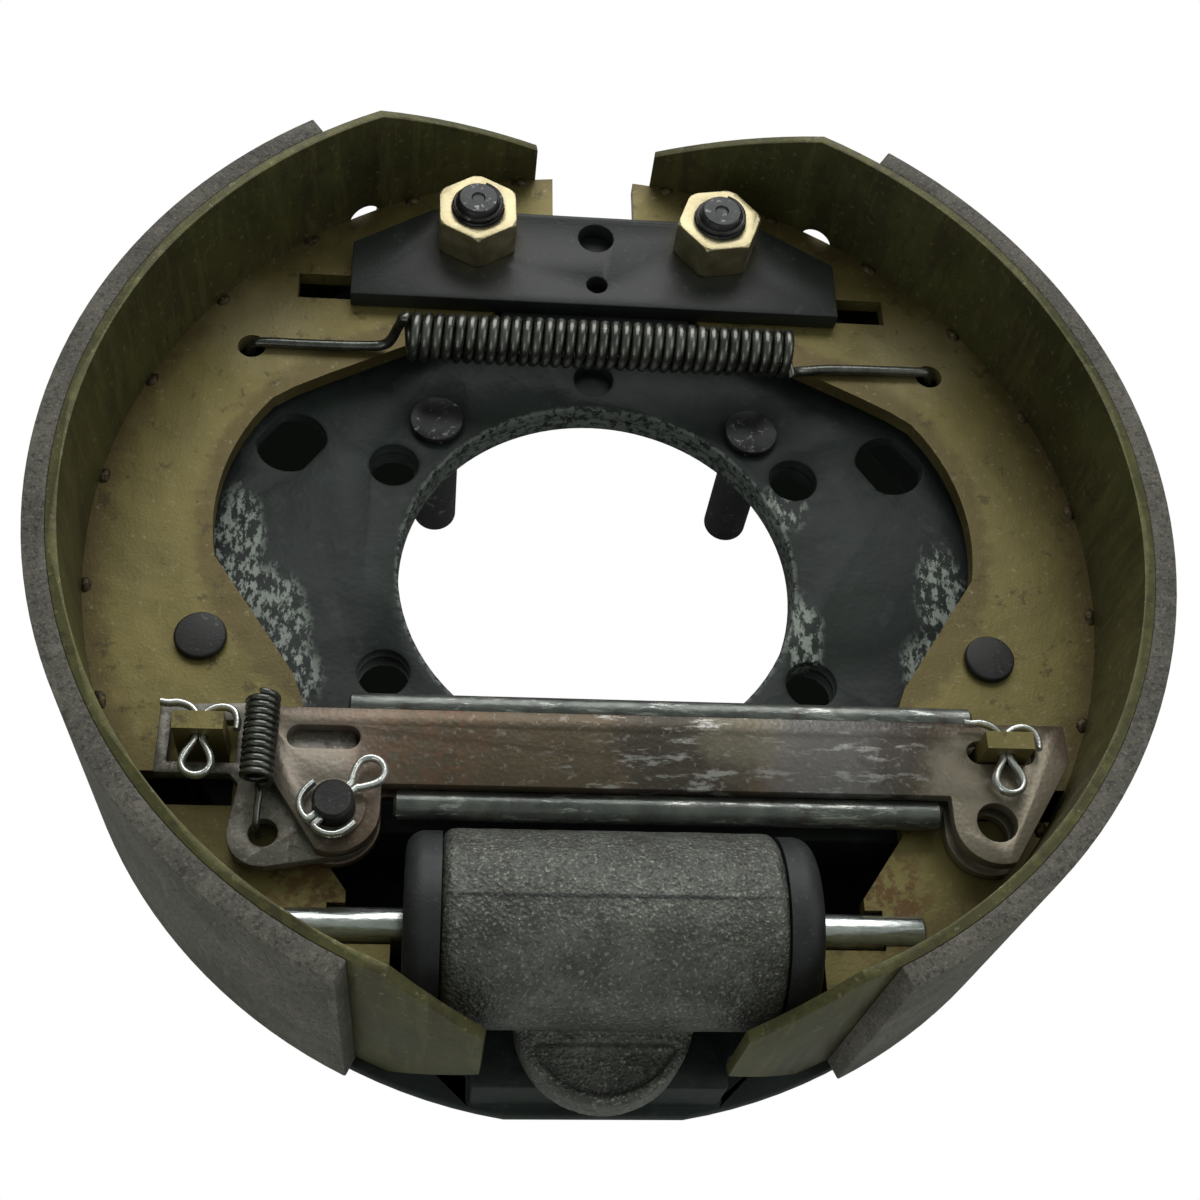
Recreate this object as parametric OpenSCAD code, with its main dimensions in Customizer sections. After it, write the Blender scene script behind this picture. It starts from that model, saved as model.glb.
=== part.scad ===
// Hydraulic trailer brake assembly, drum side up.
// The drum axis is Z and z = 0 is the rear face that bolts to the axle flange.
// The anchor studs lie towards +Y and the wheel cylinder towards -Y.

/* [Brake size] */
// Radius of the lining face when the shoes are at rest
shoe_r = 155.6; // [150:0.2:160]
// Width of the shoe along the drum axis
shoe_w = 84; // [78:1:90]
// Height of the middle of the shoe above the mounting face
shoe_mid_z = 17; // [16.5:0.25:17.5]

/* [Shoes] */
// Thickness of the lining
lining_t = 6; // [4:0.5:8]
// Thickness of the shoe table
table_t = 3; // [2.5:0.25:3.5]
// Thickness of the shoe web
web_t = 5; // [4:0.25:5.5]
// Angle from the top at which the table ends
table_top_end = 7.5; // [6.5:0.5:9]
// Angle from the top at which the table starts to taper
table_top_taper = 27.5; // [22:0.5:32]
// Width of the table at its upper end
table_top_w = 31; // [26:1:36]
// Angle from the bottom at which the table ends
table_low_end = 12.5; // [12:0.25:14]
// Angle from the bottom at which the table starts to taper
table_low_taper = 22; // [20:0.5:24]
// Width of the table at its lower end
table_low_w = 32; // [26:1:36]
// Angle from the top at which the lining starts
lining_top_end = 35; // [33.5:0.5:40]
// Angle from the bottom at which the lining ends
lining_low_end = 25.7; // [24.5:0.5:30]
// Distance from the middle to the inner end of the web
web_end_x = 13.4; // [12.8:0.2:16]
// Depth of the web at mid height of the shoe
web_depth = 34.6; // [33:0.2:37]
// Diameter of the table hole in line with the web
table_hole_d = 11; // [8:0.5:12]
// Angle from the top of the table hole
table_hole_a = 30.5; // [29:0.5:31.5]
// Diameter of each hole for the return spring
hook_hole_d = 8.5; // [7.5:0.5:10]
// Diameter of the round head of the steady pin
steady_head_d = 14.4; // [13:0.2:16]
// Height of the steady pin head above the web
steady_head_h = 2.5; // [1.5:0.5:4]
// Width of the upstanding tab of the web
tab_w = 13; // [11:0.5:13.5]
// Thickness of the tab
tab_t = 5; // [4:0.25:5.25]
// Height of the tab top above the mounting face
tab_top_z = 40; // [39:0.5:44]
// Distance of the tab from the middle
tab_x = 107; // [106.5:0.25:107.5]
// Number of weld beads between web and table
weld_count = 10; // [4:1:10]
// Radius of a weld bead
weld_r = 1.9; // [1.2:0.1:2]

/* [Backing plate] */
// Sheet thickness of the backing plate
plate_t = 5; // [4:0.25:5.5]
// Height of the raised middle of the plate above the mounting face
plate_z = 10; // [9.5:0.25:10]
// Radius of the raised middle
platform_r = 130; // [128:0.5:134]
// Outer radius of the plate
plate_r = 152; // [151:0.5:155]
// Distance from the middle to the straight lower edge of the plate
plate_flat_y = 150; // [149:0.5:151]
// Diameter of the hole for the axle spindle
spindle_d = 117.6; // [110:0.2:120]
// Radius of the bolt circle
bolt_r = 71; // [70:0.25:72]
// Diameter of each mounting bolt hole
bolt_hole_d = 14.5; // [13:0.5:15]
// Outer radius of the flange ring behind the plate
ring_r = 84; // [82:0.5:88]
// Diameter of the shank of each mounting stud
mount_stud_d = 13.8; // [12:0.2:14]
// Length of each mounting stud behind the mounting face
mount_stud_l = 46; // [30:1:50]
// Diameter of the round window with two flats
window_d = 21; // [18:0.5:22]
// Distance between the flats of the window
window_flats = 17.5; // [15:0.5:18]
// Diameter of the round hole above the spindle hole
sight_hole_d = 12; // [8:0.5:13]

/* [Anchor] */
// Distance of each anchor stud from the middle
anchor_x = 38.3; // [38:0.1:38.6]
// Height of the anchor studs above the drum axis
anchor_y = 114.2; // [113.8:0.1:114.6]
// Diameter of the stud where the shoe turns on it
anchor_d = 20; // [18:0.25:21]
// Thread diameter of the stud
anchor_thread_d = 16; // [14:0.25:16.5]
// Radial clearance of the shoe on its stud
anchor_fit = 0.08; // [0.03:0.01:0.1]
// Width across the flats of the anchor nut
nut_af = 24; // [23:0.5:26]
// Height of the anchor nut
nut_h = 13; // [11:0.5:14]
// Length of thread that stands out of the nut
stud_out = 4.2; // [2:0.2:6]
// Thickness of the guide bar
bar_t = 6; // [5:0.25:7]
// Half length of the guide bar
bar_half = 77; // [74:1:82]
// Half length of the upper edge of the guide bar
bar_top_half = 52; // [50:1:56]
// Diameter of the upper hole of the bar
bar_hole_d = 11.3; // [8:0.1:13]
// Diameter of the lower hole of the bar
bar_small_hole_d = 6.5; // [5:0.5:8]

/* [Wheel cylinder] */
// Distance of the cylinder axis below the drum axis
cyl_y = 112.5; // [112:0.25:113]
// Outer radius of the casting
cyl_r = 25.5; // [25:0.25:26]
// Length of the casting
cyl_l = 87.2; // [84:0.4:90]
// Bore of the wheel cylinder
bore_d = 38.1; // [36:0.1:39]
// Radial clearance of a piston in the bore
piston_fit = 0.05; // [0.02:0.01:0.08]
// Length of a piston
piston_l = 17; // [14:0.5:18]
// Depth of the outer face of a piston below the end of the casting
piston_in = 4; // [3:0.25:5]
// Length of a rubber boot
boot_l = 9.3; // [8:0.1:11]
// Diameter of a push rod
rod_d = 9.8; // [9:0.1:10]
// Distance of the outer end of each push rod from the middle
rod_end_x = 83.5; // [82:0.5:85]
// Distance from the middle to the bottom of each push rod slot
rod_slot_x = 72.4; // [72:0.1:73]
// Radius of the lower lug of the casting
lug_r = 23.5; // [22:0.5:24]
// Distance of the lug centre below the drum axis
lug_y = 131; // [130:0.5:131.5]
// Thread diameter of each cylinder bolt
cyl_bolt_d = 8; // [7:0.5:9]

/* [Strut and handbrake lever] */
// Distance of the strut middle from the brake middle
strut_x = 15.8; // [15.6:0.1:16]
// Half length of the strut plates
strut_half = 110; // [108:0.5:112]
// Upper edge of the strut plates below the drum axis
strut_top_y = 57.5; // [57:0.25:58]
// Lower edge of the strut plates below the drum axis
strut_low_y = 79; // [78.5:0.25:79.5]
// Thickness of the upper strut plate
strut_t = 4; // [3:0.25:4]
// Thickness of the lower strut plate
strut_low_t = 3; // [2.5:0.25:3]
// Thickness of the handbrake lever
lever_t = 4; // [3.5:0.25:4]
// Diameter of the two strut rods
strut_rod_d = 8; // [7:0.25:8]
// Length of the front strut rod
rod_front_l = 146; // [140:1:147]
// Length of the rear strut rod
rod_rear_l = 171; // [150:1:175]
// Diameter of the clevis pin
pin_d = 10.8; // [9:0.1:10.9]
// Radial clearance of the clevis pin in the lever
pin_fit = 0.08; // [0.03:0.01:0.1]
// Distance of the clevis pin from the strut middle
pin_u = 87.4; // [87:0.1:88]
// Distance of the clevis pin below the drum axis
pin_y = 86.3; // [86:0.1:86.6]
// Radius of the strut lobe round the pin
lobe_r = 11.8; // [11:0.1:12.5]
// Length of each strut slot
slot_l = 19; // [18.6:0.1:19.4]
// Width of each strut slot
slot_w = 6.6; // [6.4:0.1:6.8]
// Distance of each strut slot from the strut middle
slot_u = 91.2; // [91:0.1:91.5]
// Diameter of the cable hole in the lever
cable_hole_d = 7.5; // [6:0.5:8.5]

/* [Springs and split pins] */
// Wire diameter of the return spring
spring_wire = 3.2; // [2.8:0.1:3.3]
// Outer diameter of the return spring
spring_d = 15.4; // [14:0.2:16]
// Distance between two turns of the return spring
spring_pitch = 3.4; // [3.3:0.05:3.5]
// Number of turns of the return spring
spring_turns = 35; // [20:1:35]
// Height of the return spring axis above the mounting face
spring_z = 29; // [28.5:0.25:31]
// Wire diameter of the lever spring
small_wire = 1.9; // [1.5:0.1:2.2]
// Outer diameter of the lever spring
small_d = 9.3; // [8:0.1:10]
// Number of turns of the lever spring
small_turns = 12; // [8:1:13]
// Diameter of the split pins
split_d = 4.2; // [3.6:0.1:4.3]

/* [Hidden] */

$fn = 96;
eps = 0.01;
gap = 0.3;
big = 400;

table_out_r = shoe_r - lining_t;
table_in_r = table_out_r - table_t;
web_z0 = shoe_mid_z - web_t / 2;
web_z1 = shoe_mid_z + web_t / 2;
shoe_z0 = shoe_mid_z - shoe_w / 2;
shoe_z1 = shoe_mid_z + shoe_w / 2;

// Levels of the pressed plate
plate_low_z = plate_z - plate_t;
seat_z = shoe_mid_z - cyl_r;
seat_t = plate_t;
pan_z = shoe_z0 - 2;
platform_flat_y = cyl_y - cyl_r - 3;
seat_half = 50;
seat_step_y = 131;
seat_neck_half = 34;
seat_edge_y = plate_flat_y - 3;

// Anchor levels
bar_z0 = web_z1 + gap;
bar_z1 = bar_z0 + bar_t;
nut_z1 = bar_z1 + nut_h;
stud_top_z = nut_z1 + stud_out;
bar_top_y = anchor_y + 10.3;
bar_side_y = anchor_y - 5.2;
bar_low_y = anchor_y - 26.2;
bar_hole_y = anchor_y + 1.3;
bar_small_hole_y = anchor_y - 18;
stud_head_d = 27;
stud_head_h = 7;

// Levels of the strut, from the web upwards
strut_z0 = web_z1 + 0.5;
strut_z1 = strut_z0 + strut_low_t;
lever_z0 = strut_z1 + gap;
lever_z1 = lever_z0 + lever_t;
strut_top_z0 = lever_z1 + gap;
strut_top_z1 = strut_top_z0 + strut_t;
strut_rod_z = (strut_z1 + strut_top_z0) / 2;
strut_rod_nest = sqrt(pow(strut_rod_d / 2, 2) - pow((strut_top_z0 - strut_z1) / 2, 2)) - 0.05;
tab_y = 66;
tab_pin_z = strut_top_z1 + split_d / 2 + 1.1;
window_top_y = 71.4;
window_low_y = 81;
window_in_x = 99;
pin_x = strut_x - pin_u;
pin_top_z = strut_top_z1 + 7.2;
pin_cross_z = strut_top_z1 + 1.2 + split_d / 2 + 0.5;
pin_head_d = 13.2;
pin_head_h = 3;
washer_t = 1.2;
washer_d = 19;
lever_hole_x0 = -tab_x - tab_w / 2 - 2.2;
lever_hole_x1 = -tab_x + tab_w / 2 + 2.4;
lever_hole_y0 = -tab_y - 6.1;
lever_hole_y1 = -tab_y + 6.1;
cable_x = -89.5;
cable_y = -91.4;
cable_lobe_r = 9.3;

// Web outline on the +X side, from the top end round the inner edge to the toe
web_bow_x = 43.5;
web_bow_y = 10.3;
web_bow_r = table_in_r - web_bow_x - web_depth;
web_bow_a0 = 37;
web_bow_a1 = -12.5;
toe_x = 68;
toe_y = cyl_y - 8.6;
low_toe_x = 56;
notch_y = rod_d / 2 + 0.6;
web_slot_x0 = 68;
web_slot_x1 = 93.6;
web_slot_y0 = 90.6;
web_slot_y1 = 100.2;
hook_x = 106;
hook_y = 70.6;
steady_x = 111.6;
steady_y = 31.4;
steady_shank_d = 12;
weld_start_a = 9.7;
weld_step_a = 14.4;

// Return spring
spring_y = hook_y - 1;
coil_half = spring_turns * spring_pitch / 2;
hook_drop_z = web_z0 - 1;

function arc_points(cx, cy, r, a0, a1, n) =
    [for (i = [0:n]) let (a = a0 + (a1 - a0) * i / n) [cx + r * cos(a), cy + r * sin(a)]];

// A wire of diameter d along points that lie in one level plane
function wire_normal(p, i) =
    let (a = p[max(i - 1, 0)], b = p[min(i + 1, len(p) - 1)], t = b - a)
    [-t[1], t[0]] / norm(t);

module flat_wire(points, z, d, sides = 8) {
    n = len(points);
    rings = [for (i = [0:n - 1]) let (m = wire_normal(points, i)) for (k = [0:sides - 1])
        let (a = 360 * (k + 0.5) / sides)
        [points[i][0] + m[0] * cos(a) * d / 2, points[i][1] + m[1] * cos(a) * d / 2, z + sin(a) * d / 2]];
    walls = [for (i = [0:n - 2]) for (k = [0:sides - 1]) let (j = (k + 1) % sides)
        [i * sides + k, (i + 1) * sides + k, (i + 1) * sides + j, i * sides + j]];
    first = [for (k = [0:sides - 1]) k];
    last = [for (k = [0:sides - 1]) (n - 1) * sides + sides - 1 - k];
    polyhedron(rings, concat([first], walls, [last]), convexity = 6);
}

module at_side(side) {
    mirror([side < 0 ? 1 : 0, 0, 0]) children();
}

module tube(r_out, r_in, h) {
    difference() {
        cylinder(r = r_out, h = h);
        translate([0, 0, -1]) cylinder(r = r_in, h = h + 2);
    }
}

module cut_below(y) {
    translate([-big / 2, -y - big]) square([big, big]);
}

// A wedge that covers the +X side between two angles measured from the top
module side_sector(a0, a1) {
    mid = (a0 + a1) / 2;
    polygon(concat([[0, 0]], [for (a = [a0, (a0 + mid) / 2, mid, (a1 + mid) / 2, a1])
        [big * sin(a), big * cos(a)]]));
}

// Pressed backing plate
module platform_2d(inset = 0) {
    difference() {
        circle(r = platform_r - inset, $fn = 180);
        cut_below(platform_flat_y - inset);
    }
}

module seat_2d(inset = 0) {
    y0 = platform_flat_y - plate_t;
    polygon([[seat_half - inset, -y0], [seat_half - inset, -seat_step_y + inset / 2],
        [seat_neck_half - inset, -seat_step_y - 8], [seat_neck_half - inset, -seat_edge_y + inset],
        [-seat_neck_half + inset, -seat_edge_y + inset], [-seat_neck_half + inset, -seat_step_y - 8],
        [-seat_half + inset, -seat_step_y + inset / 2], [-seat_half + inset, -y0]]);
}

module plate_holes_2d() {
    circle(d = spindle_d);
    for (a = [30, 150, 210, 330]) rotate(a) translate([bolt_r, 0]) circle(d = bolt_hole_d);
    for (side = [-1, 1]) {
        translate([side * mount_stud_x, mount_stud_y]) circle(d = mount_stud_d + mount_stud_swell + 0.06);
    }
}

mount_stud_a = 46.4;
mount_stud_swell = 0.6;
mount_stud_x = bolt_r * cos(mount_stud_a);
mount_stud_y = bolt_r * sin(mount_stud_a);
window_x = 92.6;
window_y = 42.4;

module window_2d() {
    intersection() {
        circle(d = window_d);
        square([window_flats, window_d + 2], center = true);
    }
}

module backing_plate() {
    color("#23282d") difference() {
        union() {
            translate([0, 0, plate_low_z]) linear_extrude(plate_t) platform_2d();
            translate([0, 0, pan_z - plate_t]) linear_extrude(plate_low_z - pan_z + plate_t)
                difference() {
                    platform_2d();
                    platform_2d(plate_t);
                }
            translate([0, 0, pan_z - plate_t]) linear_extrude(plate_t) difference() {
                circle(r = plate_r, $fn = 180);
                cut_below(plate_flat_y);
                platform_2d(plate_t / 2);
                seat_2d(plate_t / 2);
            }
            translate([0, 0, seat_z - seat_t]) linear_extrude(seat_t) difference() {
                seat_2d();
                platform_2d(plate_t / 2);
            }
            translate([0, 0, pan_z - plate_t]) linear_extrude(seat_z - pan_z) difference() {
                seat_2d();
                seat_2d(plate_t);
                platform_2d(plate_t / 2);
            }
        }
        translate([0, 0, plate_low_z - 1]) linear_extrude(plate_t + 2) {
            plate_holes_2d();
            translate([0, bolt_r]) circle(d = sight_hole_d);
            for (side = [-1, 1]) {
                translate([side * window_x, window_y]) rotate(side * 35) window_2d();
                translate([side * anchor_x, anchor_y]) circle(d = anchor_thread_d + 0.1);
            }
        }
        translate([0, -cyl_y, seat_z - seat_t - 1]) {
            cylinder(d = inlet_d + 2 * gap, h = seat_t + 2);
            translate([bleed_x, 0, 0]) cylinder(d = bleed_boss_d + 2 * gap, h = seat_t + 2);
        }
        for (side = [-1, 1])
            translate([side * cyl_bolt_x, -cyl_bolt_y, seat_z - seat_t - 1])
                cylinder(d = cyl_bolt_d + 0.6, h = seat_t + 2);
    }
}

// Welded ring behind the plate, which seats on the axle flange
module flange_ring() {
    color("#23282d") linear_extrude(plate_low_z) difference() {
        circle(r = ring_r);
        cut_below(platform_flat_y - plate_t - gap);
        plate_holes_2d();
    }
}

module mount_stud() {
    head_d = 16.3;
    head_h = 2.6;
    tip = 5;
    color("#2b2d2f") {
        translate([0, 0, plate_z]) cylinder(d = head_d, h = head_h);
        cylinder(d = mount_stud_d + mount_stud_swell, h = plate_z);
        translate([0, 0, tip - mount_stud_l]) cylinder(d = mount_stud_d, h = mount_stud_l - tip);
        translate([0, 0, -mount_stud_l])
            cylinder(d1 = mount_stud_d - 1.4 * tip, d2 = mount_stud_d, h = tip);
    }
}

// Anchor
module anchor_block() {
    low_half = 31;
    top_half = 12;
    color("#202327") translate([0, 0, plate_z]) linear_extrude(bar_z0 - plate_z)
        polygon([[-low_half, bar_low_y - 2.5], [low_half, bar_low_y - 2.5],
            [top_half, anchor_y + 4], [top_half, bar_top_y - 1],
            [-top_half, bar_top_y - 1], [-top_half, anchor_y + 4]]);
}

module guide_bar() {
    color("#1d2024") translate([0, 0, bar_z0]) linear_extrude(bar_t) difference() {
        polygon([[-bar_half, bar_low_y], [bar_half, bar_low_y], [bar_half, bar_side_y],
            [bar_top_half, bar_top_y], [-bar_top_half, bar_top_y], [-bar_half, bar_side_y]]);
        translate([0, bar_hole_y]) circle(d = bar_hole_d);
        translate([0, bar_small_hole_y]) circle(d = bar_small_hole_d);
        for (side = [-1, 1])
            translate([side * anchor_x, anchor_y]) circle(d = anchor_thread_d + 0.5);
    }
}

module anchor_stud(side) {
    tip = 1.5;
    color("#3a3b3c") {
        translate([0, 0, plate_low_z - stud_head_h]) linear_extrude(stud_head_h) intersection() {
            circle(d = stud_head_d);
            translate([-side * anchor_x, -anchor_y]) circle(r = platform_r - plate_t - gap, $fn = 180);
        }
        translate([0, 0, plate_low_z]) cylinder(d = anchor_thread_d, h = plate_t);
        translate([0, 0, plate_z]) cylinder(d = anchor_d, h = bar_z0 - plate_z);
        translate([0, 0, bar_z0]) cylinder(d = anchor_thread_d, h = stud_top_z - bar_z0 - tip);
        translate([0, 0, stud_top_z - tip])
            cylinder(d1 = anchor_thread_d, d2 = anchor_thread_d - 2 * tip, h = tip);
    }
}

module hex_nut(af, h, bore) {
    corner_d = af / cos(30);
    chamfer = (corner_d - af) / 2;
    difference() {
        intersection() {
            cylinder(d = corner_d, h = h, $fn = 6);
            union() {
                cylinder(d1 = corner_d - chamfer, d2 = corner_d + chamfer, h = chamfer);
                translate([0, 0, chamfer]) cylinder(d = corner_d + 1, h = h - 2 * chamfer);
                translate([0, 0, h - chamfer])
                    cylinder(d1 = corner_d + chamfer, d2 = corner_d - chamfer, h = chamfer);
            }
        }
        translate([0, 0, -1]) cylinder(d = bore, h = h + 2);
    }
}

module anchor_nut(turn) {
    color("#a58d52") translate([0, 0, bar_z1]) rotate(turn) hex_nut(nut_af, nut_h, anchor_thread_d + 0.2);
}

// Wheel cylinder
inlet_d = 18;
inlet_hole_d = 9;
inlet_drop = 11;
inlet_deep = 12;
port_d = 3;
bleed_x = 28;
bleed_boss_d = 13;
bleed_hole_d = 7;
cyl_bolt_x = 13;
cyl_bolt_deep = 8;
lug_t = 13;
bore_half = cyl_l / 2;
piston_x1 = bore_half - piston_in;
piston_x0 = piston_x1 - piston_l;
cup_l = 6;
cup_lip = 3;
cup_recess = 3;

module along_x() {
    rotate([0, 90, 0]) children();
}

module on_cylinder_axis() {
    translate([0, -cyl_y, shoe_mid_z]) children();
}

module wheel_cylinder() {
    foot_half = 34;
    foot_deep = 15;
    end_round = 2;
    color("#6f6f6c") difference() {
        union() {
            on_cylinder_axis() {
                translate([-bore_half + end_round, 0, 0]) along_x() cylinder(r = cyl_r, h = cyl_l - 2 * end_round);
                for (side = [-1, 1]) at_side(side) translate([bore_half - end_round, 0, 0]) along_x()
                    cylinder(r1 = cyl_r, r2 = cyl_r - end_round, h = end_round);
                translate([0, 0, cyl_r - 0.4])
                    cube([cyl_l - 4 * end_round, 0.9, 1.8], center = true);
            }
            translate([-foot_half, -cyl_y - foot_deep, seat_z])
                cube([2 * foot_half, 2 * foot_deep, cyl_r / 2]);
            translate([0, -lug_y, seat_z]) cylinder(r = lug_r, h = lug_t);
            translate([-lug_r, -lug_y, seat_z]) cube([2 * lug_r, lug_y - cyl_y, lug_t]);
            translate([0, -cyl_y, seat_z - inlet_drop]) cylinder(d = inlet_d, h = inlet_drop + 3);
            translate([bleed_x, -cyl_y, seat_z - inlet_drop]) cylinder(d = bleed_boss_d, h = inlet_drop + 3);
        }
        on_cylinder_axis() translate([-bore_half - 1, 0, 0]) along_x() cylinder(d = bore_d, h = cyl_l + 2);
        translate([0, -cyl_y, seat_z - inlet_drop]) {
            translate([0, 0, -1]) cylinder(d = inlet_hole_d, h = inlet_deep + 1);
            cylinder(d = port_d, h = inlet_drop + 12);
            translate([bleed_x, 0, -1]) cylinder(d = bleed_hole_d, h = inlet_deep + 1);
            translate([bleed_x, 0, 0]) cylinder(d = port_d, h = inlet_drop + 12);
        }
        for (side = [-1, 1])
            translate([side * cyl_bolt_x, -cyl_bolt_y, seat_z - 1]) cylinder(d = cyl_bolt_d, h = cyl_bolt_deep + 1.5);
        lug_dish();
    }
}

// Cored dish of the lug, up to the round of the cylinder
module lug_dish() {
    rim = 3;
    dish = 4;
    wall_y = cyl_y + cyl_r + 0.5;
    translate([0, 0, seat_z + lug_t - dish]) linear_extrude(dish + 1) intersection() {
        translate([0, -lug_y]) circle(r = lug_r - rim);
        translate([-lug_r, -lug_y - lug_r]) square([2 * lug_r, lug_y + lug_r - wall_y]);
    }
}

bolt_head_h = 5.5;
bolt_head_d = 14.4;
bolt_washer_t = 1.6;
cyl_bolt_y = seat_edge_y - plate_t - bolt_head_d / 2 - 0.8;

module cylinder_bolts() {
    color("#8c8a84") for (side = [-1, 1]) translate([side * cyl_bolt_x, -cyl_bolt_y, 0]) {
        translate([0, 0, seat_z - seat_t - bolt_washer_t - bolt_head_h])
            cylinder(d = bolt_head_d, h = bolt_head_h, $fn = 6);
        translate([0, 0, seat_z - seat_t - bolt_washer_t])
            cylinder(d = cyl_bolt_d - 0.1, h = seat_t + bolt_washer_t + cyl_bolt_deep);
    }
}

module cylinder_washers() {
    color("#9a9892") for (side = [-1, 1])
        translate([side * cyl_bolt_x, -cyl_bolt_y, seat_z - seat_t - bolt_washer_t])
            tube(bolt_head_d / 2, cyl_bolt_d / 2 + 0.15, bolt_washer_t);
}

module bleed_screw() {
    z0 = seat_z - inlet_drop;
    color("#b5b3ac") translate([bleed_x, -cyl_y, 0]) {
        translate([0, 0, z0 - 4]) cylinder(d = 10, h = 4, $fn = 6);
        translate([0, 0, z0]) cylinder(d = bleed_hole_d - 0.1, h = 9);
        translate([0, 0, z0 - 11]) cylinder(d = 5, h = 7);
    }
}

module bleed_cap() {
    z0 = seat_z - inlet_drop;
    color("#191919") translate([bleed_x, -cyl_y, z0 - 13]) difference() {
        union() {
            cylinder(d = 8.4, h = 8.7);
            translate([0, 0, -1.5]) cylinder(d1 = 5, d2 = 8.4, h = 1.5);
        }
        translate([0, 0, 2]) cylinder(d = 5.1, h = 8);
    }
}

// Coil shown as closed turns on a thin sleeve, along +X from the middle outwards
module coil_x(turns, pitch, d, wire) {
    mean_r = (d - wire) / 2;
    half = turns * pitch / 2;
    for (i = [0:turns - 1]) translate([(i + 0.5) * pitch - half, 0, 0]) along_x()
        rotate_extrude() translate([mean_r, 0]) circle(d = wire, $fn = 16);
    translate([-half + pitch / 2, 0, 0]) along_x() tube(mean_r + wire * 0.15, mean_r - wire * 0.3, 2 * half - pitch);
}

module cup_spring() {
    turns = 7;
    wire = 1.8;
    free_l = 2 * (piston_x0 - cup_l + cup_recess - gap);
    color("#9b9b97") on_cylinder_axis()
        coil_x(turns, (free_l - wire) / (turns - 1), bore_d - 4 * cup_lip - 1, wire);
}

module piston() {
    socket_d = rod_d + 0.3;
    socket_deep = 9;
    color("#a8a59c") on_cylinder_axis() translate([piston_x0, 0, 0]) along_x() difference() {
        cylinder(r = bore_d / 2 - piston_fit, h = piston_l);
        translate([0, 0, piston_l - socket_deep]) cylinder(d = socket_d, h = socket_deep + 1);
    }
}

module cup() {
    color("#1b1b1b") on_cylinder_axis() translate([piston_x0 - cup_l, 0, 0]) along_x() difference() {
        cylinder(r = bore_d / 2 - piston_fit, h = cup_l);
        translate([0, 0, -1])
            cylinder(r1 = bore_d / 2 - cup_lip + 0.6, r2 = bore_d / 2 - 2 * cup_lip, h = cup_recess + 1);
    }
}

module push_rod() {
    x0 = piston_x1 - 9 + 0.05;
    color("#c6c8c4") difference() {
        on_cylinder_axis() {
            translate([x0, 0, 0]) along_x() cylinder(d = rod_d, h = rod_end_x - x0 - 0.6);
            translate([rod_end_x - 0.6, 0, 0]) along_x() cylinder(d1 = rod_d, d2 = rod_d - 1.2, h = 0.6);
        }
        translate([rod_slot_x, -cyl_y - rod_d, web_z0 - 0.15])
            cube([rod_end_x - rod_slot_x + 1, 2 * rod_d, web_t + 0.3]);
    }
}

module boot() {
    wall = 2.4;
    corner = 5;
    r = cyl_r - 0.7;
    color("#26282a") on_cylinder_axis() translate([bore_half, 0, 0]) along_x() difference() {
        union() {
            cylinder(r = r, h = boot_l - corner);
            translate([0, 0, boot_l - corner]) intersection() {
                cylinder(r = r, h = corner);
                rotate_extrude() {
                    square([r - corner, corner]);
                    translate([r - corner, 0]) circle(r = corner);
                }
            }
        }
        translate([0, 0, -1]) cylinder(r = r - wall, h = boot_l - wall - corner / 2 + 1);
        translate([0, 0, -2]) cylinder(r = r - wall - corner / 2, h = boot_l - wall + 2);
        translate([0, 0, -1]) cylinder(d = rod_d + 0.12, h = boot_l + 2);
    }
}

// Shoes, drawn on the +X side
module web_2d() {
    bow = arc_points(web_bow_x, web_bow_y, web_bow_r, web_bow_a0, web_bow_a1, 12);
    intersection() {
        circle(r = table_in_r, $fn = 180);
        polygon(concat(
            [[web_end_x, big / 2], [web_end_x, anchor_y + 8], [web_end_x + 4, anchor_y - 2],
                [33, bar_low_y - 0.8], [82, 61.6], [92, 56]],
            bow,
            [[86, -41], [82.5, -50], [80.5, -68], [80.5, -86], [toe_x, -toe_y], [toe_x, -cyl_y + notch_y],
                [rod_slot_x + 0.3, -cyl_y + notch_y], [rod_slot_x + 0.3, -cyl_y - notch_y],
                [low_toe_x, -cyl_y - notch_y], [low_toe_x, -big / 2], [big / 2, -big / 2], [big / 2, big / 2]]));
    }
}

module web(side) {
    tab_x0 = tab_x - tab_w / 2;
    color("#8a7a4a") at_side(side) difference() {
        union() {
            translate([0, 0, web_z0]) linear_extrude(web_t) difference() {
                web_2d();
                translate([anchor_x, anchor_y]) circle(d = anchor_d + 2 * anchor_fit);
                translate([hook_x, hook_y]) circle(d = hook_hole_d);
                translate([steady_x, -steady_y]) circle(d = steady_shank_d);
                translate([web_slot_x0, web_slot_y0])
                    square([web_slot_x1 - web_slot_x0, web_slot_y1 - web_slot_y0]);
                translate([window_in_x, -window_low_y])
                    square([table_in_r - window_in_x, window_low_y - window_top_y]);
            }
            translate([tab_x0, -tab_y - tab_t / 2, web_z0 + eps]) cube([tab_w, tab_t, tab_top_z - web_z0 - eps]);
            // Weld beads, which bite a little into the table
            for (i = [0:weld_count - 1]) let (a = weld_start_a + i * weld_step_a, r = table_in_r - weld_r / 2)
                translate([r * sin(a), r * cos(a), web_z1 - weld_r / 2]) sphere(r = weld_r, $fn = 24);
        }
        translate([tab_x, -tab_y + tab_t, tab_pin_z]) rotate([90, 0, 0])
            cylinder(d = split_d + 0.4, h = 2 * tab_t);
    }
}

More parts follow.
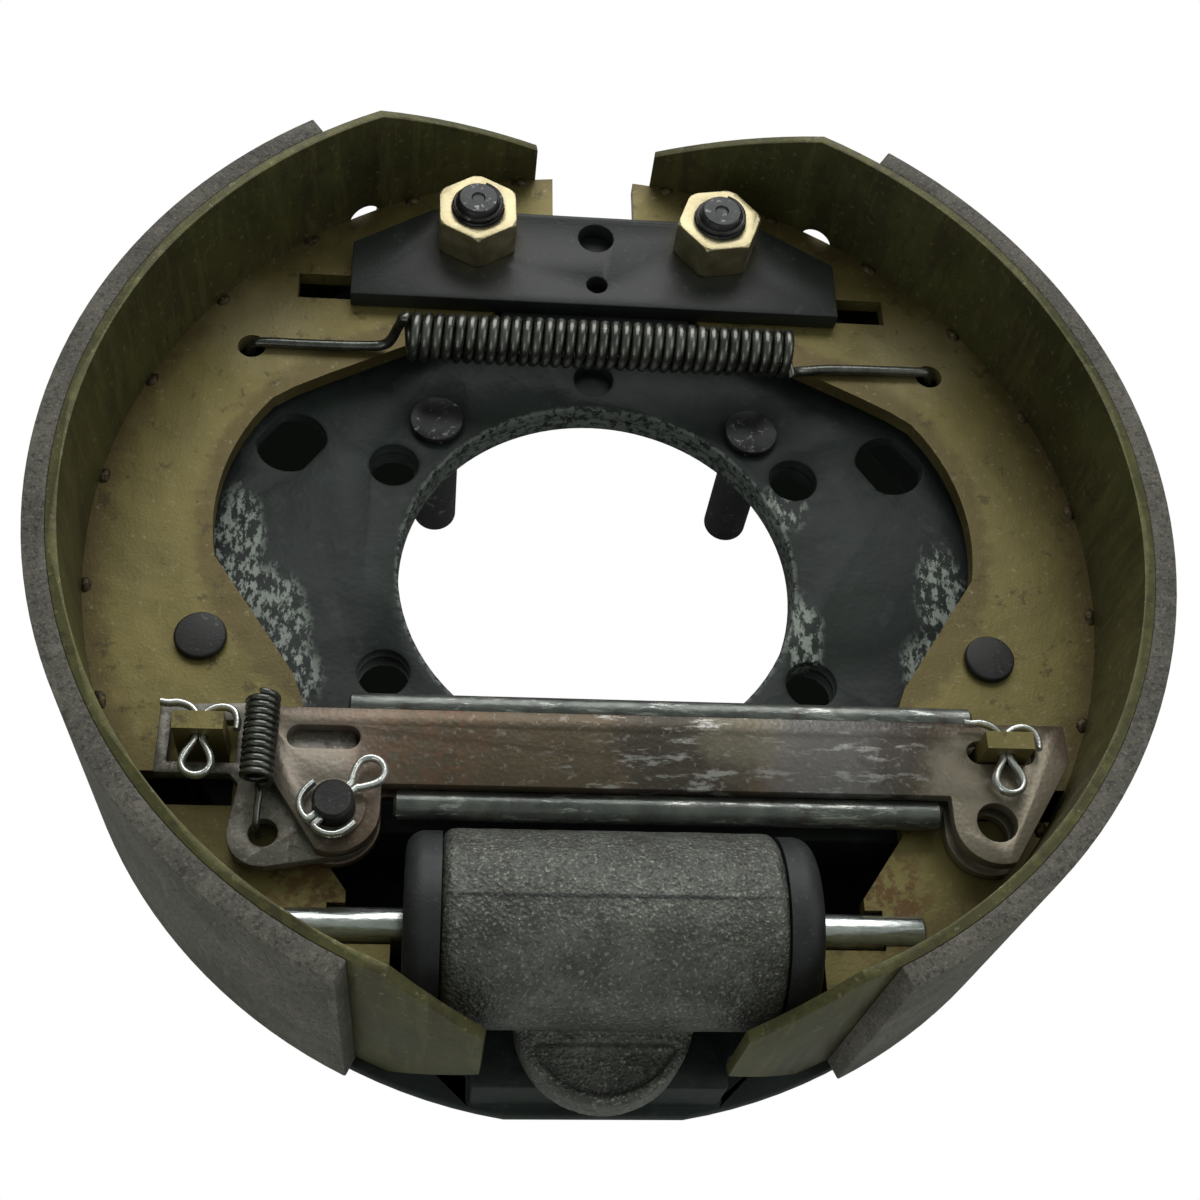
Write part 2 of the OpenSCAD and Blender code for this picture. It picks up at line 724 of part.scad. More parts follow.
// Cuts one corner off the unrolled table, between a taper angle and an end angle
module taper_cut(a_full, a_end, end_w) {
    a_mid = (a_full + a_end) / 2;
    t_full = table_out_r * sin(abs(a_full - a_end) / 2);
    reach = 30;
    slope = (shoe_w - end_w) / 2 / (2 * t_full);
    rotate(-a_mid) translate([0, table_in_r - 6, shoe_mid_z]) rotate([-90, 0, 0])
        for (up = [-1, 1]) linear_extrude(table_t + lining_t + 12) scale([1, up])
            polygon([[(a_full < a_end ? -1 : 1) * t_full, shoe_w / 2],
                [(a_full < a_end ? 1 : -1) * (t_full + reach), end_w / 2 - slope * reach],
                [(a_full < a_end ? 1 : -1) * (t_full + reach), shoe_w],
                [(a_full < a_end ? -1 : 1) * t_full, shoe_w]]);
}

module shoe_ring(r_out, r_in, a0, a1) {
    translate([0, 0, shoe_z0]) linear_extrude(shoe_w) intersection() {
        difference() {
            circle(r = r_out, $fn = 180);
            circle(r = r_in, $fn = 180);
        }
        side_sector(a0, a1);
    }
}

module table(side) {
    color("#93865a") at_side(side) difference() {
        shoe_ring(table_out_r, table_in_r, table_top_end, 180 - table_low_end);
        taper_cut(table_top_taper, table_top_end, table_top_w);
        taper_cut(180 - table_low_taper, 180 - table_low_end, table_low_w);
        rotate(-table_hole_a) translate([0, table_in_r - 5, shoe_mid_z]) rotate([-90, 0, 0])
            cylinder(d = table_hole_d, h = table_t + 10);
    }
}

module lining(side) {
    color("#6d6a64") at_side(side)
        shoe_ring(shoe_r, table_out_r, lining_top_end, 180 - lining_low_end);
}

module steady_pin(side) {
    color("#1e1f20") translate([side * steady_x, -steady_y, 0]) {
        translate([0, 0, plate_z + gap]) cylinder(d = steady_shank_d, h = web_z1 - plate_z - gap);
        translate([0, 0, web_z1]) cylinder(d = steady_head_d, h = steady_head_h);
    }
}

// Split pin along +Y, with its eye towards -Y and its legs bent apart behind
module split_pin(grip, left_leg, right_leg) {
    w = split_d / 2;
    eye_l = 10;
    eye_half = 4.4;
    eye = [for (i = [0:10]) let (a = 360 * i / 10)
        [eye_half * sin(a) * (1 - 0.25 * (1 + cos(a)) / 2), -eye_l / 2 - 0.2 + eye_l / 2 * cos(a)]];
    color("#c9cac6") {
        translate([0, -0.6, 0]) rotate([-90, 0, 0]) cylinder(d = split_d, h = grip + 1.2, $fn = 24);
        flat_wire([for (i = [0:9]) eye[i]], 0, w, 8);
        flat_wire(concat([[-w / 2, grip]], left_leg), 0, w, 8);
        flat_wire(concat([[w / 2, grip]], right_leg), 0, w, 8);
    }
}

module tab_split_pin(side) {
    grip = tab_t + 1;
    translate([side * tab_x, -tab_y - grip / 2, tab_pin_z])
        split_pin(grip,
            [[-1.4, grip + 1.6], [-3.4, grip + 3.4], [-6, grip + 4.2], [-8.6, grip + 4], [-11, grip + 4.4]],
            [[1.6, grip + 1.8], [4, grip + 3], [6.6, grip + 3], [8.6, grip + 1.6], [9.6, grip - 0.6],
                [9.6, grip - 3.4]]);
}

// Strut
module strut_2d() {
    end_y = strut_top_y + 11;
    half = concat([[strut_half, -strut_top_y], [strut_half, -end_y]],
        arc_points(pin_u, -pin_y, lobe_r, -70, -180, 10), [[pin_u - lobe_r, -strut_low_y]]);
    last = len(half) - 1;
    translate([strut_x, 0])
        polygon(concat(half, [for (i = [0:last]) [-half[last - i][0], half[last - i][1]]]));
}

module strut_plate_2d() {
    difference() {
        strut_2d();
        for (side = [-1, 1]) translate([strut_x, 0]) at_side(side) {
            translate([pin_u, -pin_y]) circle(d = pin_d + 2 * pin_fit);
            translate([slot_u, -tab_y]) {
                square([slot_l - slot_w, slot_w], center = true);
                for (end = [-1, 1]) translate([end * (slot_l - slot_w) / 2, 0]) circle(d = slot_w);
            }
        }
    }
}

module strut_top_plate() {
    color("#6b5748") translate([0, 0, strut_top_z0]) linear_extrude(strut_t) strut_plate_2d();
}

module strut_bottom_plate() {
    color("#5d4f45") translate([0, 0, strut_z0]) linear_extrude(strut_low_t) strut_plate_2d();
}

module strut_rod(l, x_mid, y) {
    chamfer = 0.8;
    color("#4a4c4e") translate([x_mid, y, strut_rod_z]) {
        translate([-l / 2 + chamfer, 0, 0]) along_x() cylinder(d = strut_rod_d, h = l - 2 * chamfer);
        for (side = [-1, 1]) at_side(side) translate([l / 2 - chamfer, 0, 0]) along_x()
            cylinder(d1 = strut_rod_d, d2 = strut_rod_d - 2 * chamfer, h = chamfer);
    }
}

module strut_rod_front() {
    strut_rod(rod_front_l, strut_x + 0.6, -strut_low_y - strut_rod_nest);
}

module strut_rod_rear() {
    strut_rod(rod_rear_l, strut_x, -strut_top_y + strut_rod_nest);
}

module clevis_pin() {
    color("#2a2a2a") translate([pin_x, -pin_y, 0]) difference() {
        union() {
            translate([0, 0, strut_z0 - pin_head_h]) cylinder(d = pin_head_d, h = pin_head_h);
            translate([0, 0, strut_z0]) cylinder(d = pin_d, h = pin_top_z - strut_z0 - 0.8);
            translate([0, 0, pin_top_z - 0.8]) cylinder(d1 = pin_d, d2 = pin_d - 1.6, h = 0.8);
        }
        translate([0, 0, pin_cross_z]) rotate([90, 0, pin_turn]) translate([0, 0, -pin_d])
            cylinder(d = split_d + 0.3, h = 2 * pin_d);
    }
}

pin_turn = -45;

module clevis_washer() {
    color("#5e5650") translate([pin_x, -pin_y, strut_top_z1]) tube(washer_d / 2 - 1.5, pin_d / 2 + 0.15, washer_t);
}

module clevis_split_pin() {
    grip = pin_d + 1.6;
    translate([pin_x, -pin_y, pin_cross_z]) rotate(pin_turn + 180) translate([0, -grip / 2, 0])
        split_pin(grip,
            [[-1.6, grip + 1.4], [-4.2, grip + 1.2], [-6.6, grip - 0.6], [-7.8, grip - 3.4], [-7.9, grip - 6.4]],
            [[1.6, grip + 1.4], [4.2, grip + 1.2], [6.6, grip - 0.6], [7.8, grip - 3.4], [7.9, grip - 6.4]]);
}

// Handbrake lever
module lever_2d() {
    pivot_r = 11.4;
    left_x = lever_hole_x0 - 3.2;
    difference() {
        polygon(concat([[left_x, -55.5], [-94, -54.5], [-68, -62]],
            arc_points(pin_x, -pin_y, pivot_r, 25, -95, 9),
            arc_points(cable_x, cable_y, cable_lobe_r, -80, -185, 8),
            [[-97, -78], [-99.5, -75.2], [left_x, -75.2]]));
        translate([pin_x, -pin_y]) circle(d = pin_d + 2 * pin_fit);
        translate([cable_x, cable_y]) circle(d = cable_hole_d);
        translate([lever_hole_x0, lever_hole_y0])
            square([lever_hole_x1 - lever_hole_x0, lever_hole_y1 - lever_hole_y0]);
    }
}

module handbrake_lever() {
    color("#8f8c86") translate([0, 0, lever_z0]) linear_extrude(lever_t) lever_2d();
}

// Springs
module quarter_bend(r, d) {
    rotate_extrude(angle = 90) translate([r, 0]) circle(d = d, $fn = 16);
}

module return_hook() {
    bend = 4;
    mean_r = (spring_d - spring_wire) / 2;
    coil_x1 = coil_half - spring_pitch / 2;
    hook_z = web_z1 + spring_wire / 2 + 0.35;
    // Leaves the coil along X, then dips through the web hole
    translate([coil_x1, hook_y - spring_y, hook_z - spring_z]) along_x()
        cylinder(d = spring_wire, h = hook_x - bend - coil_x1, $fn = 24);
    translate([hook_x - bend, hook_y - spring_y, hook_z - spring_z - bend]) rotate([90, 0, 0])
        quarter_bend(bend, spring_wire);
    translate([hook_x, hook_y - spring_y, hook_drop_z - spring_z])
        cylinder(d = spring_wire, h = hook_z - bend - hook_drop_z, $fn = 24);
    // Brings the wire down from the end turn
    translate([coil_x1, hook_y - spring_y, hook_z - spring_z])
        cylinder(d = spring_wire, h = mean_r + spring_z - hook_z, $fn = 24);
    translate([coil_x1, hook_y - spring_y, hook_z - spring_z]) sphere(d = spring_wire + 0.04, $fn = 24);
}

module shoe_return_spring() {
    color("#2c2c2d") translate([0, spring_y, spring_z]) {
        coil_x(spring_turns, spring_pitch, spring_d, spring_wire);
        for (side = [-1, 1]) at_side(side) return_hook();
    }
}

small_x = -91.2;
small_y0 = -56.8;
small_pitch = 2.05;
small_z = strut_top_z1 + small_d / 2 + gap;

module lever_spring() {
    mean_r = (small_d - small_wire) / 2;
    l = small_turns * small_pitch;
    low_y = small_y0 - l;
    drop_z = lever_z0 + 0.6;
    edge_y = -strut_top_y + small_wire / 2 + gap;
    color("#202021") {
        translate([small_x, small_y0 - l / 2, small_z]) rotate(90)
            coil_x(small_turns, small_pitch, small_d, small_wire);
        // Lower wire, down into the cable hole of the lever
        translate([small_x, low_y + small_pitch / 2, small_z - mean_r]) rotate([90, 0, 0])
            cylinder(d = small_wire, h = low_y + small_pitch / 2 - cable_y, $fn = 24);
        translate([small_x, cable_y, small_z - mean_r]) sphere(d = small_wire + 0.04, $fn = 24);
        translate([small_x, cable_y, drop_z]) cylinder(d = small_wire, h = small_z - mean_r - drop_z, $fn = 24);
        // Upper wire, down behind the strut plate
        translate([small_x, edge_y, strut_top_z0]) cylinder(d = small_wire, h = small_z - mean_r - strut_top_z0, $fn = 24);
        translate([small_x, edge_y, small_z - mean_r]) sphere(d = small_wire + 0.04, $fn = 24);
        translate([small_x, edge_y, small_z - mean_r]) rotate([90, 0, 0])
            cylinder(d = small_wire, h = edge_y - small_y0 + small_pitch, $fn = 24);
    }
}

module at_anchor(side) {
    translate([side * anchor_x, anchor_y, 0]) children();
}

module at_mount_stud(side) {
    translate([side * mount_stud_x, mount_stud_y, 0]) children();
}

backing_plate();
flange_ring();
anchor_block();
guide_bar();
at_anchor(-1) anchor_stud(-1);  // anchor_stud_left
at_anchor(1) anchor_stud(1);  // anchor_stud_right
at_anchor(-1) anchor_nut(32);  // anchor_nut_left
at_anchor(1) anchor_nut(10);  // anchor_nut_right
at_mount_stud(-1) mount_stud();  // mount_stud_left
at_mount_stud(1) mount_stud();  // mount_stud_right
wheel_cylinder();
cylinder_bolts();
cylinder_washers();
bleed_screw();
bleed_cap();
cup_spring();
at_side(-1) cup();  // cup_left
at_side(1) cup();  // cup_right
at_side(-1) piston();  // piston_left
at_side(1) piston();  // piston_right
at_side(-1) push_rod();  // push_rod_left
at_side(1) push_rod();  // push_rod_right
at_side(-1) boot();  // boot_left
at_side(1) boot();  // boot_right
shoe_return_spring();
web(-1);  // web_left
web(1);  // web_right
table(-1);  // table_left
table(1);  // table_right
lining(-1);  // lining_left
lining(1);  // lining_right
steady_pin(-1);  // steady_pin_left
steady_pin(1);  // steady_pin_right
tab_split_pin(-1);  // tab_split_pin_left
tab_split_pin(1);  // tab_split_pin_right
strut_top_plate();
strut_bottom_plate();
strut_rod_front();
strut_rod_rear();
clevis_pin();
clevis_washer();
clevis_split_pin();
handbrake_lever();
lever_spring();
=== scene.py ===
"""Hydraulic trailer brake: finishes, springs, threads, casting skin and the stage."""

import math
import random

import bpy
from mathutils import Matrix, Vector


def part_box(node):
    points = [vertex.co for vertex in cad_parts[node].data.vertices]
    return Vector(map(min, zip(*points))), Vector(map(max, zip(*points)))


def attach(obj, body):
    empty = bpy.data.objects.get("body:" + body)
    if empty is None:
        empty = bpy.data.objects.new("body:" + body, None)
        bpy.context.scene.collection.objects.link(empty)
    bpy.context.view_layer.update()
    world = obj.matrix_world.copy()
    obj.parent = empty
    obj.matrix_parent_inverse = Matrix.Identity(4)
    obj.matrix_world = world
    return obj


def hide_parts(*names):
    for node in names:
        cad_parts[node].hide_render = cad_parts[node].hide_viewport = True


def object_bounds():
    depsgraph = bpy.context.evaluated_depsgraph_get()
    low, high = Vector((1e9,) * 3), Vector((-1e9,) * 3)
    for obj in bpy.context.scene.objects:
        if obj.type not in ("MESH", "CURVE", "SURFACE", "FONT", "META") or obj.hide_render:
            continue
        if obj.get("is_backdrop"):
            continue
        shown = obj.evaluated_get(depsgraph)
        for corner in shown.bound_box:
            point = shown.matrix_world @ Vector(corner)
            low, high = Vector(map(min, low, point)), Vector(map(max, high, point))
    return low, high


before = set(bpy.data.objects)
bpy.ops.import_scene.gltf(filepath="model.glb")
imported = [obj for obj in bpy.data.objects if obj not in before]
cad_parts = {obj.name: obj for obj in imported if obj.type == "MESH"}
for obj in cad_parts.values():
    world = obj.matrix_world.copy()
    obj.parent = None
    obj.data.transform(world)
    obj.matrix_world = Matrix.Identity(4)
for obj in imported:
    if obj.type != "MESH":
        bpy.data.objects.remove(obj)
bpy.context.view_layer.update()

bl_info = {
    "name": "Hydraulic Trailer Brake",
    "version": (1, 0, 0),
    "blender": (4, 5, 0),
    "location": "View3D > Sidebar > Brake",
    "description": "Dresses the packed trailer brake and sets its stage",
    "category": "Object",
}

MM = 0.001
STUD_X, STUD_Y = 38.3, 114.2  # centre of the right anchor stud, in millimetres
CREASE = 32                   # degrees between two faces that count as an edge
SIDES = (("left", -1), ("right", 1))


class BrakeSizes(bpy.types.PropertyGroup):
    """Sizes of the pieces that are modelled here."""

    edge_round: bpy.props.FloatProperty(
        name="Edge rounding", description="Radius on the edges of pressed and cut plates",
        default=0.0005, unit="LENGTH")
    plate_round: bpy.props.FloatProperty(
        name="Pressing radius", description="Radius on the edges of the backing plate",
        default=0.0011, unit="LENGTH")
    spring_wire: bpy.props.FloatProperty(
        name="Return spring wire", description="Wire diameter of the long return spring",
        default=0.0032, unit="LENGTH")
    spring_coil: bpy.props.FloatProperty(
        name="Return spring coil", description="Outer diameter of the long return spring",
        default=0.0154, unit="LENGTH")
    small_wire: bpy.props.FloatProperty(
        name="Lever spring wire", description="Wire diameter of the lever spring",
        default=0.0019, unit="LENGTH")
    small_coil: bpy.props.FloatProperty(
        name="Lever spring coil", description="Outer diameter of the lever spring",
        default=0.0093, unit="LENGTH")
    thread_pitch: bpy.props.FloatProperty(
        name="Thread pitch", description="Pitch of the anchor stud threads",
        default=0.002, unit="LENGTH")
    skin_step: bpy.props.FloatProperty(
        name="Casting skin", description="Mesh size of the cylinder casting",
        default=0.001, unit="LENGTH")


class BrakeColours(bpy.types.PropertyGroup):
    """Base colours of the main finishes."""

    plate: bpy.props.FloatVectorProperty(
        name="Plate paint", description="Green-black paint of the backing plate",
        default=(0.013, 0.017, 0.015), subtype="COLOR", min=0, max=1)
    zinc: bpy.props.FloatVectorProperty(
        name="Yellow zinc", description="Olive gold zinc coat of the shoes",
        default=(0.205, 0.168, 0.056), subtype="COLOR", min=0, max=1)
    lining: bpy.props.FloatVectorProperty(
        name="Lining", description="Moulded friction material",
        default=(0.115, 0.105, 0.088), subtype="COLOR", min=0, max=1)
    casting: bpy.props.FloatVectorProperty(
        name="Casting", description="Grey iron of the wheel cylinder",
        default=(0.120, 0.123, 0.110), subtype="COLOR", min=0, max=1)
    strut: bpy.props.FloatVectorProperty(
        name="Strut steel", description="Heat-tinted steel of the parking strut",
        default=(0.120, 0.085, 0.058), subtype="COLOR", min=0, max=1)


# Shader groups

def add(tree, kind, inputs=None, **settings):
    """Adds a shader node, and links or sets its inputs."""
    made = tree.nodes.new(kind)
    for key, value in settings.items():
        setattr(made, key, value)
    for key, value in (inputs or {}).items():
        if isinstance(value, bpy.types.NodeSocket):
            tree.links.new(value, made.inputs[key])
        else:
            made.inputs[key].default_value = value
    return made


def calc(tree, operation, *values, kind="ShaderNodeMath"):
    """Adds a math node on those values and returns its result."""
    made = add(tree, kind, dict(enumerate(values)), operation=operation)
    return made.outputs["Value" if operation in ("LENGTH", "DISTANCE") else 0]


def calc_vector(tree, operation, *values):
    """Adds a vector math node on those values and returns its result."""
    return calc(tree, operation, *values, kind="ShaderNodeVectorMath")


def span(tree, value, low, high, **settings):
    """Stretches a value between low and high to the range 0 to 1."""
    inputs = {"Value": value, "From Min": low, "From Max": high}
    return add(tree, "ShaderNodeMapRange", inputs, **settings).outputs[0]


def clouds(tree, place, scale, detail, roughness):
    """Adds a noise texture and returns its strength."""
    inputs = {"Vector": place, "Scale": scale, "Detail": detail, "Roughness": roughness}
    return add(tree, "ShaderNodeTexNoise", inputs).outputs["Fac"]


def wandering_edge(tree, given, reach, scale, roughness, low, high):
    """A soft mask by distance, with an edge that wanders."""
    noise = clouds(tree, given["Place"], scale, 6.0, roughness)
    swing = calc(tree, "MULTIPLY", calc(tree, "SUBTRACT", noise, 0.5), given["Wander"])
    return span(tree, calc(tree, "ADD", reach, swing), low, high, interpolation_type="SMOOTHSTEP")


def new_group(name, inputs, outputs):
    """Starts a shader group with named sockets, the first of them the place."""
    tree = bpy.data.node_groups.new(name, "ShaderNodeTree")
    kinds = {"v": "NodeSocketVector", "f": "NodeSocketFloat", "c": "NodeSocketColor"}
    for label, kind, default in [("Place", "v", None), *inputs]:
        socket = tree.interface.new_socket(name=label, in_out="INPUT", socket_type=kinds[kind])
        if default is not None:
            socket.default_value = default
    for label, kind in outputs:
        tree.interface.new_socket(name=label, in_out="OUTPUT", socket_type=kinds[kind])
    return tree, tree.nodes.new("NodeGroupInput").outputs, tree.nodes.new("NodeGroupOutput").inputs


def build_groups():
    """Builds the effects that several finishes share. All places are in millimetres."""
    tree, given, out = new_group(
        "Colour drift", [("Size", "f", 10.0), ("Low", "c", None), ("High", "c", None)],
        [("Color", "c"), ("Mask", "f")])
    size = calc(tree, "DIVIDE", 1.0, given["Size"])
    mask = span(tree, clouds(tree, given["Place"], size, 5.0, 0.6), 0.36, 0.64)
    mixed = add(tree, "ShaderNodeMix", {"Factor": mask, 6: given["Low"], 7: given["High"]}, data_type="RGBA")
    tree.links.new(mixed.outputs[2], out["Color"])
    tree.links.new(mask, out["Mask"])

    tree, given, out = new_group(
        "Scuffs", [("Size", "f", 4.0), ("Share", "f", 0.2), ("Stretch", "v", (1, 1, 1))], [("Mask", "f")])
    place = calc_vector(tree, "MULTIPLY", given["Place"], given["Stretch"])
    size = calc(tree, "DIVIDE", 1.0, given["Size"])
    edge = calc(tree, "SUBTRACT", 0.72, given["Share"])
    mask = span(tree, clouds(tree, place, size, 8.0, 0.72), edge, calc(tree, "ADD", edge, 0.06))
    tree.links.new(mask, out["Mask"])

    tree, given, out = new_group(
        "Patch", [("Centre", "v", None), ("Radius", "f", 10.0), ("Feather", "f", 5.0), ("Wander", "f", 4.0),
                  ("Squash", "v", (1, 1, 1))], [("Mask", "f")])
    away = calc_vector(tree, "SUBTRACT", given["Place"], given["Centre"])
    reach = calc_vector(tree, "LENGTH", calc_vector(tree, "MULTIPLY", away, given["Squash"]))
    outer = calc(tree, "ADD", given["Radius"], given["Feather"])
    mask = wandering_edge(tree, given, reach, 0.16, 0.62, outer, given["Radius"])
    tree.links.new(mask, out["Mask"])

    tree, given, out = new_group(
        "Grain", [("Size", "f", 1.0), ("Stretch", "v", (1, 1, 1))], [("Height", "f"), ("Specks", "f")])
    place = calc_vector(tree, "MULTIPLY", given["Place"], given["Stretch"])
    size = calc(tree, "DIVIDE", 1.0, given["Size"])
    coarse = clouds(tree, place, size, 3.0, 0.55)
    cells = add(tree, "ShaderNodeTexVoronoi", {"Vector": place, "Scale": size}).outputs["Distance"]
    tree.links.new(calc(tree, "ADD", coarse, cells), out["Height"])
    tree.links.new(span(tree, coarse, 0.56, 0.66), out["Specks"])

    tree, given, out = new_group(
        "Ring", [("Inner", "f", 130.0), ("Outer", "f", 140.0), ("Wander", "f", 6.0)], [("Mask", "f")])
    parts = add(tree, "ShaderNodeSeparateXYZ", {0: given["Place"]}).outputs
    flat = add(tree, "ShaderNodeCombineXYZ", {"X": parts["X"], "Y": parts["Y"]}).outputs[0]
    reach = calc_vector(tree, "LENGTH", flat)
    mask = wandering_edge(tree, given, reach, 0.12, 0.65, given["Inner"], given["Outer"])
    tree.links.new(mask, out["Mask"])


class Finish:
    """A finish that is built up in layers on one surface shader."""

    def __init__(self, name, colour, roughness, metallic=0.0, specular=0.5):
        self.material = bpy.data.materials.new(name)
        self.material.use_nodes = True
        self.tree = self.material.node_tree
        self.shader = self.tree.nodes["Principled BSDF"]
        self.shader.inputs["Metallic"].default_value = metallic
        self.shader.inputs["Specular IOR Level"].default_value = specular
        coords = add(self.tree, "ShaderNodeTexCoord").outputs["Object"]
        self.place = add(self.tree, "ShaderNodeVectorMath", {0: coords, "Scale": 1 / MM},
                         operation="SCALE").outputs[0]
        self.colour = (*colour, 1.0)
        self.roughness = roughness
        self.height = None

    def effect(self, group, **inputs):
        """Places a shared group with its own values."""
        made = add(self.tree, "ShaderNodeGroup", node_tree=bpy.data.node_groups[group])
        self.tree.links.new(self.place, made.inputs["Place"])
        for key, value in inputs.items():
            socket = made.inputs[key.replace("_", " ").capitalize()]
            socket.default_value = (*value, 1.0) if socket.type == "RGBA" and len(value) == 3 else value
        return made.outputs

    def times(self, first, second):
        """Multiplies two masks."""
        return calc(self.tree, "MULTIPLY", first, second)

    def drift(self, size, low, high):
        """Lets the base colour wander between two colours."""
        out = self.effect("Colour drift", size=size, low=low, high=high)
        self.colour = out["Color"]
        return out["Mask"]

    def layer(self, mask, colour, share=1.0):
        """Lays a colour over the base where the mask is."""
        if share != 1.0:
            mask = self.times(mask, share)
        mix = add(self.tree, "ShaderNodeMix", {"Factor": mask, 6: self.colour, 7: (*colour, 1.0)},
                  data_type="RGBA")
        self.colour = mix.outputs[2]

    def gloss(self, mask, roughness):
        """Changes the roughness where the mask is."""
        mix = add(self.tree, "ShaderNodeMix", {"Factor": mask, 2: self.roughness, 3: roughness})
        self.roughness = mix.outputs[0]

    def relief(self, group, distance, **inputs):
        """Adds a bump, that deep in millimetres, from a group's height."""
        height = self.effect(group, **inputs)["Height"]
        inputs = {"Height": height, "Distance": distance * MM, "Strength": 1.0}
        made = add(self.tree, "ShaderNodeBump", inputs)
        if self.height is not None:
            self.tree.links.new(self.height, made.inputs["Normal"])
        self.height = made.outputs[0]

    def done(self):
        """Connects the layers and returns the material."""
        for key, value in (("Base Color", self.colour), ("Roughness", self.roughness)):
            if isinstance(value, bpy.types.NodeSocket):
                self.tree.links.new(value, self.shader.inputs[key])
            else:
                self.shader.inputs[key].default_value = value
        if self.height is not None:
            self.tree.links.new(self.height, self.shader.inputs["Normal"])
        return self.material


# Finishes

def plate_paint():
    """Green-black paint, with pale rubbed marks beside the webs and chips at the hole."""
    base = tuple(bpy.context.scene.brake_colours.plate)
    coat = Finish("Plate paint", base, 0.5, specular=0.22)
    coat.drift(24, base, tuple(1.6 * c for c in base))
    dust = coat.effect("Scuffs", size=9.0, share=0.16)["Mask"]
    coat.layer(dust, (0.05, 0.056, 0.054), 0.3)
    rubbed = coat.effect("Scuffs", size=2.4, share=0.235, stretch=(1.0, 0.5, 1.0))["Mask"]
    for centre, radius, squash in (
            ((-106, 2, 10), 9, (1.5, 0.55, 1)), ((-99, -23, 10), 12, (1.0, 0.7, 1)),
            ((-88, -38, 10), 6, (1, 1, 1)), ((104, -8, 10), 9, (1.6, 0.6, 1)),
            ((97, -31, 10), 7, (1.3, 0.8, 1)), ((57, 24, 10), 4, (1, 1, 1)),
            ((60, -20, 10), 5, (1.4, 0.6, 1))):
        near = coat.effect("Patch", centre=centre, radius=radius, feather=6, wander=7, squash=squash)["Mask"]
        both = coat.times(near, rubbed)
        coat.layer(both, (0.36, 0.40, 0.36), 0.75)
        coat.gloss(both, 0.6)
    rim = coat.effect("Ring", inner=60.6, outer=59.2, wander=2.4)["Mask"]
    chips = coat.effect("Scuffs", size=2.2, share=0.27)["Mask"]
    coat.layer(coat.times(rim, chips), (0.20, 0.22, 0.20), 0.6)
    coat.relief("Grain", 0.05, size=1.6)
    coat.relief("Grain", 0.5, size=14.0)
    return coat.done()


def bar_paint():
    """Black paint of the guide bar, scuffed, with a brown tint around the studs."""
    coat = Finish("Bar paint", (0.016, 0.018, 0.017), 0.44, specular=0.3)
    coat.drift(18, (0.014, 0.016, 0.015), (0.022, 0.025, 0.024))
    worn = coat.effect("Scuffs", size=3.5, share=0.13)["Mask"]
    coat.layer(worn, (0.07, 0.075, 0.07), 0.4)
    for _side, sign in SIDES:
        tint = coat.effect("Patch", centre=(sign * STUD_X, STUD_Y, 25.8), radius=12, feather=7, wander=6)
        coat.layer(tint["Mask"], (0.045, 0.042, 0.030), 0.7)
    coat.relief("Grain", 0.03, size=1.2)
    return coat.done()


def shoe_zinc(name, side, table):
    """Olive gold zinc with brown heat stains along the welds and the inner edge."""
    base = tuple(bpy.context.scene.brake_colours.zinc)
    dark = tuple(0.74 * c for c in base)
    if table:
        base = (0.48 * base[0], 0.56 * base[1], 0.60 * base[2])
        dark = tuple(0.6 * c for c in base)
    coat = Finish(name, base, 0.46, metallic=0.5)
    drift = coat.drift(30, dark, base)
    coat.gloss(drift, 0.5)
    brown = (0.060, 0.036, 0.014)
    if table:
        heat = coat.effect("Scuffs", size=16.0, share=0.2, stretch=(1, 1, 0.35))["Mask"]
        coat.layer(heat, (0.05, 0.038, 0.02), 0.5)
        runs = coat.effect("Scuffs", size=5.0, share=0.2, stretch=(1, 1, 0.12))["Mask"]
        coat.layer(runs, tuple(1.5 * c for c in base), 0.35)
    else:
        coat.layer(coat.effect("Ring", inner=136, outer=146.5, wander=14)["Mask"], brown, 0.6)
        coat.layer(coat.effect("Patch", centre=(side * 43.5, 10.3, 20), radius=71, feather=5, wander=10,
                               squash=(1, 1, 0.2))["Mask"], brown, 0.5)
        coat.layer(coat.effect("Patch", centre=(side * 104, 78, 20), radius=8, feather=16, wander=18)["Mask"],
                   (0.33, 0.28, 0.16), 0.4)
        coat.layer(coat.effect("Patch", centre=(side * 84, 100, 20), radius=9, feather=16, wander=16)["Mask"],
                   brown, 0.2)
        rust = coat.times(
            coat.effect("Patch", centre=(side * 72, -104, 20), radius=8, feather=12, wander=14)["Mask"],
            coat.effect("Scuffs", size=4.0, share=0.25)["Mask"])
        coat.layer(rust, (0.10, 0.035, 0.010), 0.7)
    coat.layer(coat.effect("Scuffs", size=2.4, share=0.13)["Mask"], (0.36, 0.33, 0.22), 0.35)
    coat.layer(coat.effect("Scuffs", size=7.0, share=0.14)["Mask"], (0.045, 0.032, 0.016), 0.55)
    coat.relief("Grain", 0.03, size=0.9)
    coat.relief("Grain", 0.15, size=9.0)
    return coat.done()


def lining_mix():
    """Speckled moulded lining with rubbed marks."""
    base = tuple(bpy.context.scene.brake_colours.lining)
    coat = Finish("Lining mix", base, 0.78)
    coat.drift(22, tuple(0.72 * c for c in base), tuple(1.15 * c for c in base))
    coat.layer(coat.effect("Grain", size=0.8)["Specks"], (0.24, 0.22, 0.19), 0.55)
    coat.layer(coat.effect("Scuffs", size=1.3, share=0.2)["Mask"], (0.025, 0.023, 0.02), 0.65)
    rubbed = coat.effect("Scuffs", size=6.0, share=0.16, stretch=(1, 1, 0.3))["Mask"]
    coat.layer(rubbed, (0.21, 0.19, 0.16), 0.4)
    coat.relief("Grain", 0.12, size=0.9)
    return coat.done()


